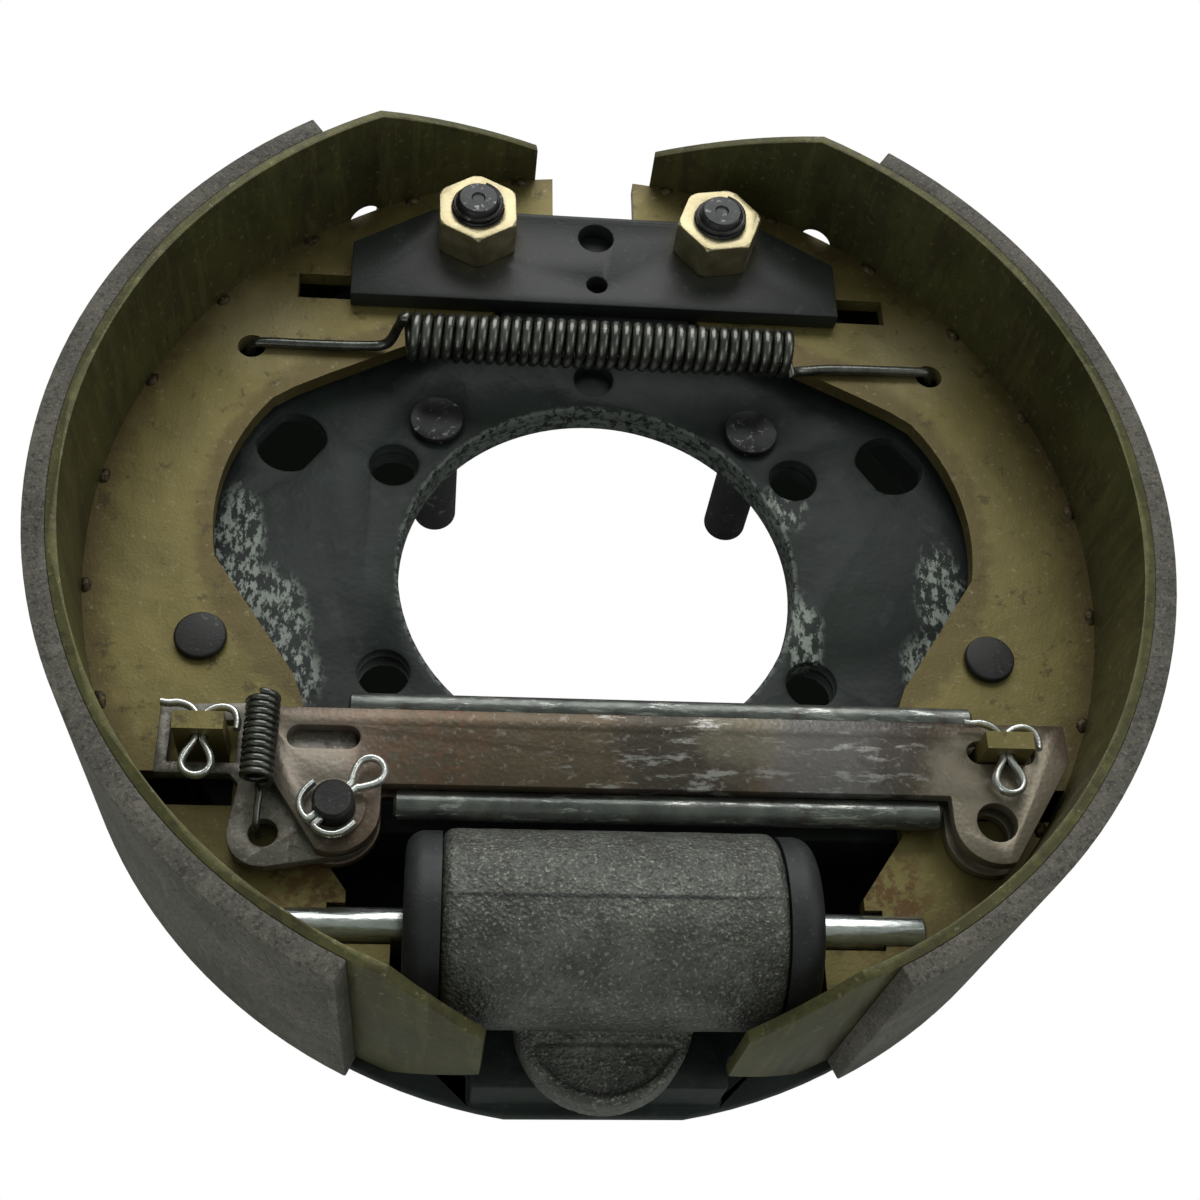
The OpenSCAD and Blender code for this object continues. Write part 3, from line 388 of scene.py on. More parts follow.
def cast_skin():
    """Sand-cast iron, brighter on the crests of its grain by painted glints."""
    base = tuple(bpy.context.scene.brake_colours.casting)
    coat = Finish("Cast skin", base, 0.5, metallic=0.45)
    coat.drift(12, tuple(0.6 * c for c in base), tuple(1.15 * c for c in base))
    # light specks on the grain crests: painted glints
    coat.layer(coat.effect("Grain", size=0.95)["Specks"], (0.36, 0.36, 0.30), 0.6)
    coat.layer(coat.effect("Scuffs", size=1.6, share=0.2)["Mask"], (0.05, 0.048, 0.045), 0.6)
    seam = coat.effect("Patch", centre=(0, -112.5, 42.8), radius=0.35, feather=0.5, wander=0.9,
                       squash=(0.01, 1, 0.3))["Mask"]
    coat.layer(seam, (0.03, 0.03, 0.03), 0.8)
    coat.relief("Grain", 0.28, size=0.95)
    coat.relief("Grain", 0.35, size=4.0)
    return coat.done()


def strut_steel():
    """Bare plate with brown and grey heat tints and bright scrapes."""
    base = tuple(bpy.context.scene.brake_colours.strut)
    coat = Finish("Strut steel", base, 0.4, metallic=0.6)
    coat.drift(16, tuple(0.6 * c for c in base), tuple(1.2 * c for c in base))
    for centre, radius, colour, share in (
            ((-66, -66, 30), 16, (0.20, 0.155, 0.12), 0.8), ((-84, -80, 30), 14, (0.21, 0.19, 0.155), 0.6),
            ((-28, -68, 30), 26, (0.095, 0.074, 0.046), 0.75),
            ((20, -68, 30), 14, (0.050, 0.046, 0.036), 0.8), ((62, -66, 30), 16, (0.155, 0.150, 0.150), 0.8),
            ((36, -62, 30), 7, (0.20, 0.18, 0.13), 0.6), ((84, -70, 30), 10, (0.055, 0.044, 0.034), 0.7),
            ((106, -80, 30), 17, (0.25, 0.22, 0.165), 0.85)):
        coat.layer(coat.effect("Patch", centre=centre, radius=radius, feather=10, wander=16,
                               squash=(1, 1, 0.3))["Mask"], colour, share)
    rust = coat.times(
        coat.effect("Patch", centre=(-50, -66, 30), radius=12, feather=12, wander=16)["Mask"],
        coat.effect("Scuffs", size=3.0, share=0.24)["Mask"])
    coat.layer(rust, (0.17, 0.085, 0.050), 0.45)
    both = coat.times(
        coat.effect("Scuffs", size=4.0, share=0.165, stretch=(0.25, 1, 1))["Mask"],
        coat.effect("Patch", centre=(38, -69, 31), radius=20, feather=22, wander=12,
                    squash=(0.6, 1, 1))["Mask"])
    coat.layer(both, (0.42, 0.41, 0.39), 0.8)
    coat.gloss(both, 0.25)
    coat.layer(coat.effect("Scuffs", size=2.4, share=0.15)["Mask"], (0.28, 0.25, 0.22), 0.5)
    coat.relief("Grain", 0.06, size=1.4)
    return coat.done()


def mill_rod():
    """Dark mill finish with silver scuffs along the rod."""
    coat = Finish("Mill rod", (0.10, 0.108, 0.10), 0.36, metallic=0.75)
    coat.drift(14, (0.085, 0.09, 0.085), (0.19, 0.20, 0.185))
    bright = coat.effect("Scuffs", size=3.0, share=0.17, stretch=(0.2, 1, 1))["Mask"]
    coat.layer(bright, (0.48, 0.49, 0.46), 0.7)
    coat.gloss(bright, 0.25)
    coat.layer(coat.effect("Scuffs", size=6.0, share=0.15)["Mask"], (0.09, 0.05, 0.03), 0.5)
    coat.relief("Grain", 0.05, size=1.1, stretch=(0.3, 1, 1))
    return coat.done()


def lever_steel():
    """Light grey bare lever with brown handling marks."""
    coat = Finish("Lever steel", (0.20, 0.185, 0.16), 0.42, metallic=0.55)
    coat.drift(12, (0.13, 0.12, 0.10), (0.25, 0.235, 0.20))
    coat.layer(coat.effect("Scuffs", size=4.0, share=0.18)["Mask"], (0.07, 0.05, 0.035), 0.6)
    coat.layer(coat.effect("Scuffs", size=1.6, share=0.16)["Mask"], (0.45, 0.44, 0.42), 0.5)
    coat.relief("Grain", 0.05, size=1.2)
    return coat.done()


def plain_steel(name, low, high, roughness, metallic, size=8.0, scuff=(0.4, 0.4, 0.38), share=0.14,
                grain=0.03, stretch=(1, 1, 1)):
    """A metal finish with drift, small scuffs and a fine grain."""
    coat = Finish(name, high, roughness, metallic=metallic)
    drift = coat.drift(size, low, high)
    coat.gloss(drift, min(1.0, roughness + 0.12))
    coat.layer(coat.effect("Scuffs", size=size / 3, share=share, stretch=stretch)["Mask"], scuff, 0.5)
    coat.relief("Grain", grain, size=0.8, stretch=stretch)
    return coat.done()


def boot_rubber():
    """Moulded black rubber, slightly dusty."""
    coat = Finish("Boot rubber", (0.014, 0.016, 0.018), 0.5)
    dust = coat.drift(9, (0.010, 0.011, 0.012), (0.022, 0.024, 0.027))
    coat.gloss(dust, 0.62)
    coat.layer(coat.effect("Scuffs", size=2.5, share=0.13)["Mask"], (0.09, 0.09, 0.085), 0.4)
    coat.relief("Grain", 0.03, size=0.7)
    return coat.done()


def build_finishes():
    """Builds every finish once and returns them by name."""
    made = {
        "plate_paint": plate_paint(), "bar_paint": bar_paint(), "lining": lining_mix(),
        "cast_iron": cast_skin(), "strut_steel": strut_steel(), "rod_dark": mill_rod(),
        "lever_steel": lever_steel(), "rubber": boot_rubber(),
        "stud_steel": plain_steel("Stud steel", (0.020, 0.020, 0.021), (0.050, 0.050, 0.052), 0.36, 0.6),
        "nut_zinc": plain_steel("Nut zinc", (0.33, 0.28, 0.165), (0.52, 0.46, 0.28), 0.28, 0.85,
                                scuff=(0.55, 0.50, 0.36), share=0.14),
        "bolt_zinc": plain_steel("Bolt zinc", (0.22, 0.21, 0.20), (0.36, 0.35, 0.33), 0.35, 0.85),
        "brass": plain_steel("Bleed brass", (0.34, 0.25, 0.10), (0.50, 0.39, 0.17), 0.3, 0.9),
        "piston_alloy": plain_steel("Piston alloy", (0.42, 0.41, 0.38), (0.56, 0.55, 0.51), 0.35, 0.85),
        "rod_zinc": plain_steel("Bright rod", (0.44, 0.47, 0.45), (0.66, 0.69, 0.67), 0.17, 0.95, size=14,
                                scuff=(0.25, 0.26, 0.26), share=0.13, stretch=(0.25, 1, 1)),
        "spring_steel": plain_steel("Spring steel", (0.085, 0.088, 0.080), (0.17, 0.172, 0.155), 0.22, 0.9,
                                    size=9, scuff=(0.30, 0.30, 0.27), share=0.11),
        "pin_black": plain_steel("Blackened pin", (0.010, 0.010, 0.010), (0.026, 0.025, 0.024), 0.45, 0.3,
                                 scuff=(0.12, 0.12, 0.115)),
        "split_zinc": plain_steel("Split pin zinc", (0.60, 0.61, 0.59), (0.78, 0.79, 0.77), 0.2, 0.9),
        "weld": plain_steel("Weld bead", (0.020, 0.014, 0.007), (0.085, 0.060, 0.028), 0.42, 0.6, size=3.0,
                            scuff=(0.26, 0.21, 0.12), share=0.14, grain=0.1),
    }
    for side, sign in SIDES:
        made["web_" + side] = shoe_zinc("Web zinc " + side, sign, False)
        made["table_" + side] = shoe_zinc("Table zinc " + side, sign, True)
    return made


FINISHES = {}


# Shaping

def only(*pieces):
    """Selects these pieces and nothing else."""
    if bpy.context.object and bpy.context.object.mode != "OBJECT":
        bpy.ops.object.mode_set(mode="OBJECT")
    bpy.ops.object.select_all(action="DESELECT")
    for piece in pieces:
        piece.select_set(True)
    bpy.context.view_layer.objects.active = pieces[0]


def paint(piece, finish):
    """Gives a piece or a CAD node one finish all over."""
    if not piece.material_slots:
        piece.data.materials.append(None)
    for slot in piece.material_slots:
        slot.material = FINISHES[finish]


def dress(node, finish):
    """Keeps a CAD node as it is and gives it a finish."""
    paint(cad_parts[node], finish)


def settle(piece, name, body, slot, finish, *nodes):
    """Names a finished piece, paints it, hides the CAD nodes it stands for and lets it ride."""
    piece.name = piece.data.name = name
    only(piece)
    bpy.ops.object.transform_apply(location=True, rotation=True, scale=True)
    paint(piece, finish)
    if nodes:
        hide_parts(*nodes)
    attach(piece, body)
    return piece


def node_copy(node):
    """A merged copy of a CAD node's mesh, free to be shaped."""
    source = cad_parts[node]
    piece = bpy.data.objects.new(node + "_shape", source.data.copy())
    bpy.context.scene.collection.objects.link(piece)
    piece.data.materials.clear()
    only(piece)
    bpy.ops.object.mode_set(mode="EDIT")
    bpy.ops.mesh.select_all(action="SELECT")
    bpy.ops.mesh.remove_doubles(threshold=2e-6)
    bpy.ops.mesh.customdata_custom_splitnormals_clear()
    bpy.ops.mesh.select_all(action="SELECT")
    bpy.ops.mesh.dissolve_limited(angle_limit=math.radians(0.4))
    bpy.ops.object.mode_set(mode="OBJECT")
    return piece


def modify(piece, kind, **settings):
    """Adds a modifier with its settings and applies it."""
    only(piece)
    made = piece.modifiers.new(kind.title(), kind)
    for key, value in settings.items():
        setattr(made, key, value)
    bpy.ops.object.modifier_apply(modifier=made.name)


def shade(piece, angle):
    """Smooth shading, with creases kept above that angle."""
    only(piece)
    bpy.ops.object.shade_smooth_by_angle(angle=math.radians(angle))


def softened(node, name, body, slot, finish, width, segments=2):
    """A CAD piece with its edges rounded as pressing and wear leave them."""
    piece = node_copy(node)
    modify(piece, "BEVEL", width=width, segments=segments, limit_method="ANGLE",
           angle_limit=math.radians(CREASE), use_clamp_overlap=False, miter_outer="MITER_ARC")
    shade(piece, 40)
    return settle(piece, name, body, slot, finish, node)


def wire(name, points, diameter=None, section=None):
    """Bends a wire along points. A section makes it flat instead of round."""
    bpy.ops.object.select_all(action="DESELECT")
    bpy.ops.curve.primitive_nurbs_path_add()
    piece = bpy.context.object
    curve = piece.data
    curve.splines.clear()
    spline = curve.splines.new("POLY")
    spline.points.add(len(points) - 1)
    for point, place in zip(spline.points, points):
        point.co = (*place, 1.0)
    curve.dimensions = "3D"
    curve.use_fill_caps = True
    if section:
        curve.twist_mode = "Z_UP"
        curve.bevel_mode = "OBJECT"
        curve.bevel_object = section
    else:
        curve.bevel_depth = diameter / 2
        curve.bevel_resolution = 2
    only(piece)
    bpy.ops.object.convert(target="MESH")
    piece = bpy.context.object
    piece.name = name
    shade(piece, 60)
    return piece


def eased(points, steps=6):
    """Rounds a route of corner points into a smooth one."""
    points = [Vector(p) for p in points]
    route = []
    for i in range(len(points) - 1):
        before, after = points[max(i - 1, 0)], points[min(i + 2, len(points) - 1)]
        a, b = points[i], points[i + 1]
        for k in range(steps):
            t = k / steps
            route.append(0.5 * (2 * a + (b - before) * t + (2 * before - 5 * a + 4 * b - after) * t * t
                                + (3 * a - before - 3 * b + after) * t * t * t))
    route.append(points[-1])
    return route


def joined(*pieces):
    """Joins pieces into the first."""
    only(*pieces)
    bpy.ops.object.join()
    return bpy.context.object


def lathe(name, profile, centre, steps=48):
    """Turns a profile of (radius, height) points about a vertical axis."""
    bpy.ops.object.select_all(action="DESELECT")
    bpy.ops.mesh.primitive_circle_add(vertices=steps, radius=profile[0][0], fill_type="NGON",
                                      location=(centre[0], centre[1], profile[0][1]))
    piece = bpy.context.object
    bpy.ops.object.mode_set(mode="EDIT")
    bpy.ops.mesh.select_all(action="SELECT")
    radius, height = profile[0]
    for next_radius, next_height in profile[1:]:
        bpy.ops.mesh.extrude_region_move(TRANSFORM_OT_translate={"value": (0, 0, next_height - height)})
        ratio = next_radius / radius
        bpy.ops.transform.resize(value=(ratio, ratio, 1), center_override=(*centre, next_height))
        radius, height = next_radius, next_height
    bpy.ops.mesh.select_all(action="SELECT")
    bpy.ops.mesh.normals_make_consistent(inside=False)
    bpy.ops.object.mode_set(mode="OBJECT")
    piece.name = name
    shade(piece, 35)
    return piece


# Operators

class BRAKE_OT_plate(bpy.types.Operator):
    """Rounds and paints the backing plate with its welded ring"""

    bl_idname = "brake.plate"
    bl_label = "Backing Plate"

    def execute(self, context):
        sizes = context.scene.brake_sizes
        softened("backing_plate", "pressed_plate", "base", "plate_paint", "plate_paint", sizes.plate_round)
        softened("flange_ring", "welded_ring", "base", "plate_paint", "plate_paint", sizes.edge_round)
        for side, _sign in SIDES:
            softened("mount_stud_" + side, "axle_stud_" + side, "base", "stud_steel", "stud_steel",
                     sizes.edge_round)
        return {"FINISHED"}


class BRAKE_OT_anchor(bpy.types.Operator):
    """Makes the anchor studs with their threads, the bar, the block and the nuts"""

    bl_idname = "brake.anchor"
    bl_label = "Anchor Bar and Studs"

    def execute(self, context):
        sizes = context.scene.brake_sizes
        softened("guide_bar", "anchor_bar", "base", "bar_paint", "bar_paint", sizes.edge_round)
        softened("anchor_block", "anchor_spacer", "base", "bar_paint", "bar_paint", sizes.edge_round)
        for side, sign in SIDES:
            self.stud(side, sign, sizes)
            piece = node_copy("anchor_nut_" + side)
            modify(piece, "BEVEL", width=0.00035, segments=2, limit_method="ANGLE",
                   angle_limit=math.radians(25), use_clamp_overlap=False)
            shade(piece, 30)
            settle(piece, "stud_nut_" + side, "base", "nut_zinc", "nut_zinc", "anchor_nut_" + side)
        return {"FINISHED"}

    def stud(self, side, sign, sizes):
        """Cuts the stud's plain end off and puts a rolled thread on it."""
        length, chamfer, crest, root, sink = 0.012, 0.0016, 8.0 * MM, 7.05 * MM, 0.2 * MM
        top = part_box("anchor_stud_" + side)[1][2]
        cut = top - length
        x, y = sign * STUD_X * MM, STUD_Y * MM
        piece = node_copy("anchor_stud_" + side)
        bpy.ops.object.mode_set(mode="EDIT")
        bpy.ops.mesh.select_all(action="SELECT")
        bpy.ops.mesh.bisect(plane_co=(0, 0, cut), plane_no=(0, 0, 1), use_fill=True, clear_outer=True)
        bpy.ops.object.mode_set(mode="OBJECT")
        core = lathe("core", [(root, cut - 0.001), (root, top - chamfer), (root - 0.0009, top - 0.0003),
                              (root - 0.0013, top), (0.0022, top), (0.0018, top - 0.0006)], (x, y))
        turns = (top - chamfer - cut) / sizes.thread_pitch
        steps = int(turns * 36)
        ridge = [(x + (root + sink) * math.cos(a), y + (root + sink) * math.sin(a),
                  cut + sizes.thread_pitch * a / (2 * math.pi))
                 for a in (2 * math.pi * turns * k / steps for k in range(steps + 1))]
        thread = wire("thread", ridge, 2 * (crest - root - sink))
        piece = joined(piece, core, thread)
        shade(piece, 35)
        settle(piece, "threaded_stud_" + side, "base", "stud_steel", "stud_steel", "anchor_stud_" + side)


class BRAKE_OT_cylinder(bpy.types.Operator):
    """Gives the wheel cylinder its cast skin, and finishes what is in and on it"""

    bl_idname = "brake.cylinder"
    bl_label = "Wheel Cylinder"

    def execute(self, context):
        sizes = context.scene.brake_sizes
        piece = node_copy("wheel_cylinder")
        piece.data.remesh_voxel_size = sizes.skin_step
        only(piece)
        bpy.ops.object.voxel_remesh()
        modify(piece, "SMOOTH", factor=0.5, iterations=7)
        lumps = bpy.data.textures.new("Casting lumps", "CLOUDS")
        lumps.noise_scale = 0.006
        modify(piece, "DISPLACE", texture=lumps, strength=0.0004, mid_level=0.5)
        shade(piece, 60)
        settle(piece, "cylinder_casting", "base", "cast_iron", "cast_iron", "wheel_cylinder")
        dress("cylinder_bolts", "bolt_zinc")
        dress("cylinder_washers", "bolt_zinc")
        dress("bleed_screw", "brass")
        dress("bleed_cap", "rubber")
        dress("cup_spring", "bolt_zinc")
        for side, _sign in SIDES:
            dress("cup_" + side, "rubber")
            dress("piston_" + side, "piston_alloy")
            dress("boot_" + side, "rubber")
            softened("push_rod_" + side, "plated_rod_" + side, "piston_" + side, "rod_zinc", "rod_zinc",
                     0.0003)
        return {"FINISHED"}


class BRAKE_OT_shoes(bpy.types.Operator):
    """Finishes the shoes and lays their weld beads"""

    bl_idname = "brake.shoes"
    bl_label = "Shoes"

    # Weld beads: count, degrees from the top and between two, then millimetres
    BEADS, FIRST_BEAD, BEAD_STEP = 10, 9.7, 14.4
    BEAD_RADIUS, BEAD_REACH, BEAD_HEIGHT = 1.85, 145.6, 18.8

    def execute(self, context):
        sizes = context.scene.brake_sizes
        for side, sign in SIDES:
            body = "shoe_" + side
            dress("web_" + side, "web_" + side)
            softened("table_" + side, "rolled_table_" + side, body, "shoe_zinc", "table_" + side,
                     0.6 * sizes.edge_round)
            softened("lining_" + side, "bonded_lining_" + side, body, "lining", "lining", sizes.edge_round)
            softened("steady_pin_" + side, "steady_button_" + side, body, "pin_black", "pin_black",
                     0.0008, segments=3)
            self.welds(side, sign, body)
        return {"FINISHED"}

    def welds(self, side, sign, body):
        """Uneven beads in the corner between web and table."""
        chance = random.Random(11 + sign)
        beads = []
        for i in range(self.BEADS):
            angle = math.radians(self.FIRST_BEAD + self.BEAD_STEP * i)
            reach = self.BEAD_REACH * MM
            bpy.ops.object.select_all(action="DESELECT")
            bpy.ops.mesh.primitive_ico_sphere_add(subdivisions=3, radius=self.BEAD_RADIUS * MM)
            bead = bpy.context.object
            for vertex in bead.data.vertices:
                vertex.co *= 0.86 + 0.28 * chance.random()
            modify(bead, "SMOOTH", factor=0.5, iterations=2)
            bead.data.transform(Matrix.Diagonal((1.0, 1.4 + 0.4 * chance.random(), 0.95, 1)))
            place = Matrix.Translation((sign * reach * math.sin(angle), reach * math.cos(angle),
                                        self.BEAD_HEIGHT * MM))
            bead.data.transform(place @ Matrix.Rotation(-sign * angle + math.pi / 2, 4, "Z"))
            beads.append(bead)
        piece = joined(*beads)
        shade(piece, 60)
        settle(piece, "weld_beads_" + side, body, "shoe_zinc", "weld")


class BRAKE_OT_strut(bpy.types.Operator):
    """Finishes the parking strut, its pin and the lever"""

    bl_idname = "brake.strut"
    bl_label = "Strut and Lever"

    def execute(self, context):
        soft = 0.8 * context.scene.brake_sizes.edge_round
        softened("strut_top_plate", "strut_upper", "strut", "strut_steel", "strut_steel", soft)
        softened("strut_bottom_plate", "strut_lower", "strut", "strut_steel", "strut_steel", soft)
        softened("handbrake_lever", "parking_lever", "lever", "lever_steel", "lever_steel", soft)
        for end in ("front", "rear"):
            dress("strut_rod_" + end, "rod_dark")
        dress("clevis_pin", "pin_black")
        dress("clevis_washer", "strut_steel")
        return {"FINISHED"}


class BRAKE_OT_split_pins(bpy.types.Operator):
    """Bends the split pins from flat wire"""

    bl_idname = "brake.split_pins"
    bl_label = "Split Pins"

    def execute(self, context):
        section = self.section(0.98 * MM, 1.45 * MM)
        for side, sign in SIDES:
            turn = self.place("tab_split_pin_" + side, sign * 107, -69)
            self.pin("bent_pin_" + side, 6.0, turn, section,
                     [(-1.3, 7.4), (-3.2, 9.3), (-6, 10.2), (-8.6, 10.0), (-10.6, 10.3)],
                     [(1.4, 7.6), (3.8, 9.0), (6.6, 9.1), (8.6, 7.8), (9.5, 5.4), (9.4, 2.8)],
                     "shoe_" + side, "tab_split_pin_" + side)
        turn = self.place("clevis_split_pin", -71.6, -86.3) \
            @ Matrix.Rotation(math.radians(135), 4, "Z") @ Matrix.Translation((0, -6.2 * MM, 0))
        self.pin("bent_pin_clevis", 12.4, turn, section,
                 [(-1.8, 13.9), (-4.4, 13.4), (-6.6, 11.6), (-7.6, 9.0), (-7.7, 6.0)],
                 [(1.8, 13.9), (4.4, 13.4), (6.6, 11.6), (7.6, 9.0), (7.7, 6.0)],
                 "strut", "clevis_split_pin")
        bpy.data.objects.remove(section)
        return {"FINISHED"}

    def place(self, node, x, y):
        """The middle height of a CAD pin, at a place in millimetres."""
        low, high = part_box(node)
        return Matrix.Translation((x * MM, y * MM, (low[2] + high[2]) / 2))

    def section(self, half_thick, half_wide):
        """Oval wire section."""
        bpy.ops.object.select_all(action="DESELECT")
        bpy.ops.curve.primitive_nurbs_path_add()
        piece = bpy.context.object
        curve = piece.data
        curve.splines.clear()
        curve.dimensions = "2D"
        spline = curve.splines.new("POLY")
        spline.points.add(11)
        for i, point in enumerate(spline.points):
            angle = 2 * math.pi * i / 12
            point.co = (half_thick * math.cos(angle), half_wide * math.sin(angle), 0, 1)
        spline.use_cyclic_u = True
        return piece

    def pin(self, name, grip, turn, section, left_leg, right_leg, body, node):
        """One pin: a leg, the eye and the other leg in a single wire."""
        eye = [(1.0, 0.3), (1.7, -1.6), (3.2, -4.4), (3.7, -7.0), (2.5, -9.3), (0, -10.2), (-2.5, -9.3),
               (-3.7, -7.0), (-3.2, -4.4), (-1.7, -1.6), (-1.0, 0.3)]
        flat = list(reversed(right_leg)) + [(1.0, grip)] + eye + [(-1.0, grip)] + left_leg
        route = [turn @ point for point in eased([(x * MM, y * MM, 0) for x, y in flat], 6)]
        piece = wire(name, route, section=section)
        settle(piece, name, body, "split_zinc", "split_zinc", node)


class BRAKE_OT_springs(bpy.types.Operator):
    """Winds the shoe return spring and the lever spring"""

    bl_idname = "brake.springs"
    bl_label = "Springs"

    def execute(self, context):
        sizes = context.scene.brake_sizes
        self.return_spring(sizes)
        self.lever_spring(sizes)
        return {"FINISHED"}

    def return_spring(self, sizes):
        """Long tension spring with an end that dips through each web."""
        radius = (sizes.spring_coil - sizes.spring_wire) / 2 / MM
        y, z, half, turns, steps = 69.6, 29.0, 59.2, 35, 20
        start, total = math.radians(75), 2 * math.pi * turns + math.radians(120)
        count = int(total / (2 * math.pi) * steps)
        coil = [(-half + 2 * half * k / count, y + radius * math.cos(start - total * k / count),
                 z + radius * math.sin(start - total * k / count)) for k in range(count + 1)]
        low = 21.5
        left = eased([(-106.6, 70.6, 13.6), (-106.4, 70.6, 17.0), (-105.0, 70.6, 20.6), (-101.5, 70.6, low),
                      (-90, 70.6, low), (-72, 70.8, low + 0.2), (-65, 71.2, 23.0), (-61.6, 72.4, 29.5),
                      (-60.2, 72.0, 34.4)], 6)
        right = eased([(60.4, y - 3.4, z - radius + 0.3), (62.4, y - 1.6, 22.2), (66, 69.0, low + 0.1),
                       (76, 70.2, low), (101.5, 70.6, low), (105.0, 70.6, 20.6), (106.4, 70.6, 17.0),
                       (106.6, 70.6, 13.6)], 6)
        route = [Vector(p) * MM for p in left + coil + right]
        piece = wire("return_spring", route, sizes.spring_wire)
        settle(piece, "return_spring", "base", "spring_steel", "spring_steel", "shoe_return_spring")

    def lever_spring(self, sizes):
        """Short tension spring from the strut's rear edge to the lever."""
        radius = (sizes.small_coil - sizes.small_wire) / 2 / MM
        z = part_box("lever_spring")[1][2] / MM - sizes.small_coil / 2 / MM
        x, back, length, turns, steps = -91.2, -57.4, 23.4, 12, 18
        count = turns * steps + steps // 2
        coil = []
        for k in range(count + 1):
            angle = math.pi / 2 - 2 * math.pi * k / steps
            coil.append((x + radius * math.cos(angle), back - length * k / count,
                         z + radius * math.sin(angle)))
        top = eased([(x, -56.2, 27.9), (x, -56.1, 31.0), (x, -56.0, 34.5), (x, -56.5, 38.5), coil[0]], 5)[:-1]
        end = coil[-1]
        tail = eased([end, (x + 0.6, end[1] - 2.0, z - radius + 0.5), (x + 0.4, -86.5, 33.0),
                      (x + 0.3, -90.6, 32.2), (x + 0.3, -91.6, 29.5), (x + 0.3, -91.2, 24.2)], 6)[1:]
        route = [Vector(p) * MM for p in list(top) + coil + list(tail)]
        piece = wire("lever_return_spring", route, sizes.small_wire)
        settle(piece, "lever_return_spring", "strut", "spring_steel", "spring_steel", "lever_spring")


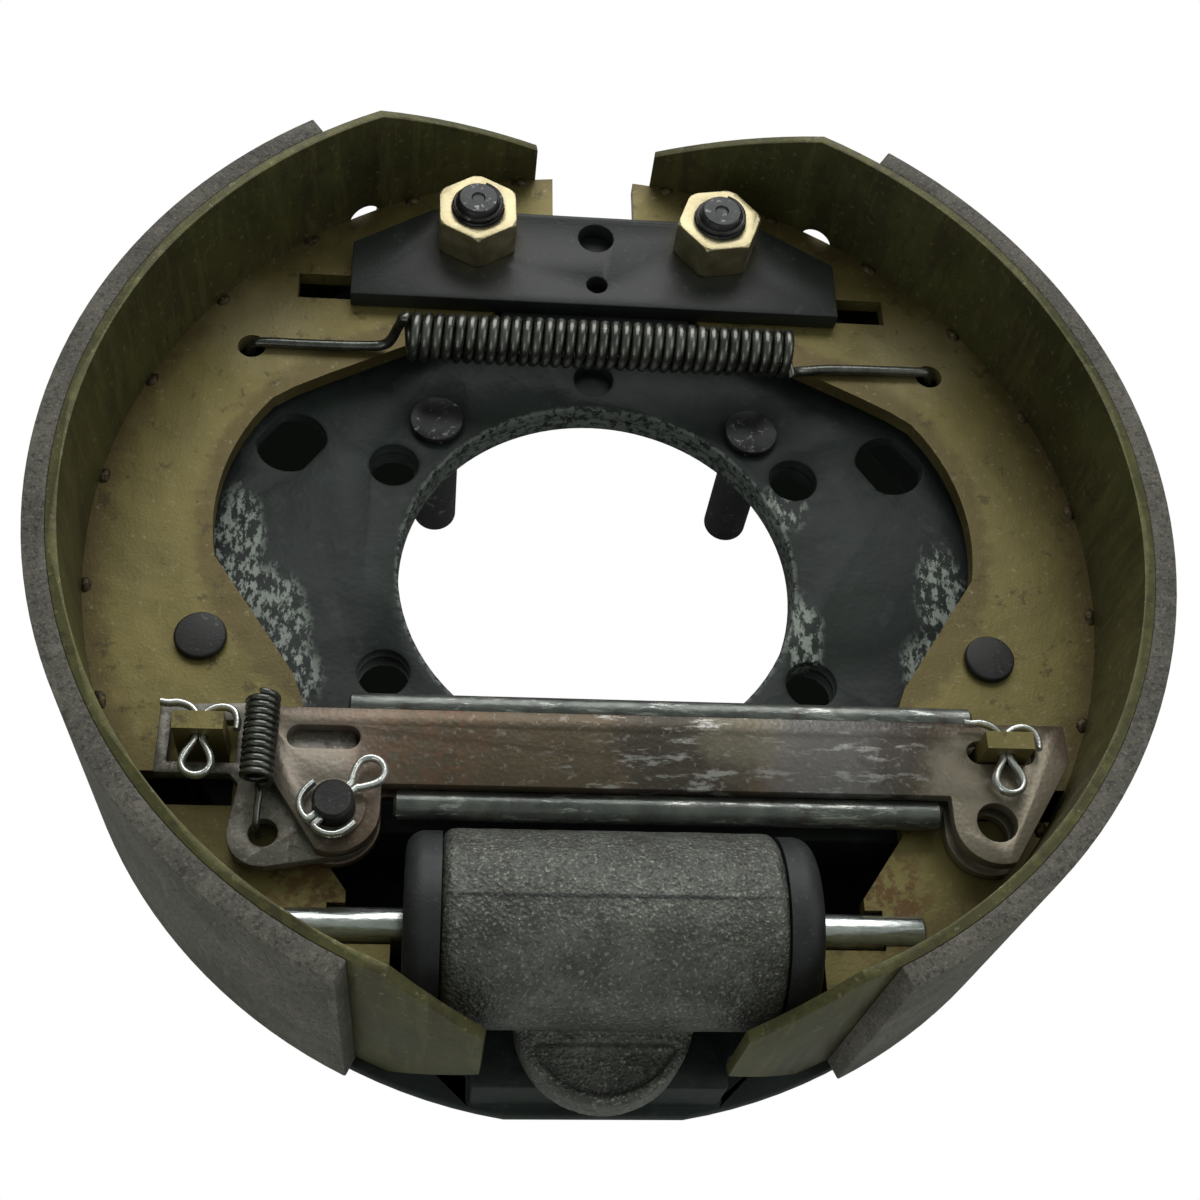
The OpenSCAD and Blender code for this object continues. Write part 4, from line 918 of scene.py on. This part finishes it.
class BRAKE_OT_stage(bpy.types.Operator):
    """Sets the floor, the soft lamps and the camera at the photograph's angle"""

    bl_idname = "brake.stage"
    bl_label = "Stage"

    # Painted shadow spots on the floor, where the small holes of the plate are seen: x, y and radius, in
    # millimetres
    SHADOWS_UNDER_HOLES = ((-99, 81, 17), (112, 81, 17), (-64, 73, 12), (76, 73, 12), (-64, -7, 12), (76, -7, 12),
             (6, 113, 12))

    # The photograph's camera: its place and axes, the sensor in millimetres and the rest in pixels
    PLACE = (-0.04653, -0.25797, 0.44139)
    RIGHT, UP = (0.99504, -0.01878, 0.09768), (-0.03231, 0.86774, 0.49596)
    FORWARD = (0.09408, 0.49666, -0.86283)
    SENSOR, FOCAL, PHOTO_WIDTH = 36.0, 1703.9, 1200

    def execute(self, context):
        scene = context.scene
        scene.view_settings.view_transform = "Standard"
        self.floor()
        self.world(scene)
        self.lamp("Key lamp", (0.05, 1.15, 0.95), 1.3, 15.0)
        self.lamp("Fill lamp", (1.0, -0.1, 0.9), 0.9, 2.8)
        self.lamp("Front lamp", (-0.6, -0.9, 0.5), 0.7, 1.4)
        self.camera(scene)
        return {"FINISHED"}

    def floor(self):
        """A floor that is white to the camera, with near-black painted shadow where only the small holes show
        it.
        """
        bpy.ops.object.select_all(action="DESELECT")
        bpy.ops.mesh.primitive_plane_add(size=6, location=(0, 0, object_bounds()[0][2] - 0.0005))
        piece = bpy.context.object
        piece.name = "floor"
        material = bpy.data.materials.new("Pale floor with painted shadows")
        material.use_nodes = True
        tree = material.node_tree
        shader = tree.nodes["Principled BSDF"]
        shader.inputs["Base Color"].default_value = (0.8, 0.8, 0.8, 1)
        shader.inputs["Roughness"].default_value = 0.9
        coords = add(tree, "ShaderNodeTexCoord").outputs["Object"]
        look = (1, 1, 1, 1)
        # near-black painted shadow spots under the small holes, shown to the camera
        for x, y, radius in self.SHADOWS_UNDER_HOLES:
            away = calc_vector(tree, "DISTANCE", coords, (x * MM, y * MM, 0))
            near = calc(tree, "LESS_THAN", away, radius * MM)
            look = add(tree, "ShaderNodeMix", {"Factor": near, 6: look, 7: (0.003, 0.004, 0.003, 1)},
                       data_type="RGBA").outputs[2]
        glow = add(tree, "ShaderNodeEmission", {"Color": look, "Strength": 1.0})
        seen = add(tree, "ShaderNodeLightPath").outputs["Is Camera Ray"]
        mix = add(tree, "ShaderNodeMixShader", {0: seen, 1: shader.outputs[0], 2: glow.outputs[0]})
        tree.links.new(mix.outputs[0], tree.nodes["Material Output"].inputs["Surface"])
        piece.data.materials.append(material)
        piece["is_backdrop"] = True

    def world(self, scene):
        """Even pale surroundings, white to the camera."""
        world = bpy.data.worlds.new("Pale room")
        scene.world = world
        world.use_nodes = True
        tree = world.node_tree
        room = tree.nodes["Background"]
        room.inputs["Color"].default_value = (0.91, 1, 0.91, 1)
        room.inputs["Strength"].default_value = 0.3
        white = add(tree, "ShaderNodeBackground", {"Color": (1, 1, 1, 1), "Strength": 1.0})
        seen = add(tree, "ShaderNodeLightPath").outputs["Is Camera Ray"]
        mix = add(tree, "ShaderNodeMixShader", {0: seen, 1: room.outputs[0], 2: white.outputs[0]})
        tree.links.new(mix.outputs[0], tree.nodes["World Output"].inputs["Surface"])

    def lamp(self, name, place, size, power):
        """A soft square lamp that looks at the brake."""
        bpy.ops.object.select_all(action="DESELECT")
        bpy.ops.object.light_add(type="AREA", location=place)
        lamp = bpy.context.object
        lamp.name = name
        lamp.data.size = size
        lamp.data.energy = power
        lamp.rotation_euler = (-Vector(place)).to_track_quat("-Z", "Y").to_euler()

    def camera(self, scene):
        """The camera of the photograph, half a metre away."""
        bpy.ops.object.select_all(action="DESELECT")
        bpy.ops.object.camera_add()
        camera = bpy.context.object
        turn = Matrix((self.RIGHT, self.UP, -Vector(self.FORWARD))).transposed().to_4x4()
        camera.matrix_world = Matrix.Translation(self.PLACE) @ turn
        camera.data.sensor_width = self.SENSOR
        camera.data.lens = self.SENSOR * self.FOCAL / self.PHOTO_WIDTH
        camera.data.clip_start = 0.01
        scene.camera = camera


class BRAKE_PT_sidebar(bpy.types.Panel):
    """Lists the pieces of the brake"""

    bl_idname = "BRAKE_PT_sidebar"
    bl_label = "Hydraulic Trailer Brake"
    bl_space_type = "VIEW_3D"
    bl_region_type = "UI"
    bl_category = "Brake"

    def draw(self, context):
        for group in (context.scene.brake_sizes, context.scene.brake_colours):
            box = self.layout.box()
            for key in group.__annotations__:
                box.prop(group, key)
        for operator in OPERATORS:
            self.layout.operator(operator.bl_idname)


OPERATORS = (BRAKE_OT_plate, BRAKE_OT_anchor, BRAKE_OT_cylinder, BRAKE_OT_shoes, BRAKE_OT_strut,
             BRAKE_OT_split_pins, BRAKE_OT_springs, BRAKE_OT_stage)
CLASSES = (BrakeSizes, BrakeColours, *OPERATORS, BRAKE_PT_sidebar)


def register():
    """Registers the classes and the two groups of settings."""
    for cls in CLASSES:
        bpy.utils.register_class(cls)
    bpy.types.Scene.brake_sizes = bpy.props.PointerProperty(type=BrakeSizes)
    bpy.types.Scene.brake_colours = bpy.props.PointerProperty(type=BrakeColours)


def unregister():
    """Takes the classes and settings away again."""
    del bpy.types.Scene.brake_colours
    del bpy.types.Scene.brake_sizes
    for cls in reversed(CLASSES):
        bpy.utils.unregister_class(cls)


def main():
    """Dresses the brake piece by piece and sets the stage."""
    register()
    build_groups()
    FINISHES.update(build_finishes())
    bpy.ops.brake.plate()
    bpy.ops.brake.anchor()
    bpy.ops.brake.cylinder()
    bpy.ops.brake.shoes()
    bpy.ops.brake.strut()
    bpy.ops.brake.split_pins()
    bpy.ops.brake.springs()
    bpy.ops.brake.stage()


if __name__ == "__main__":
    main()
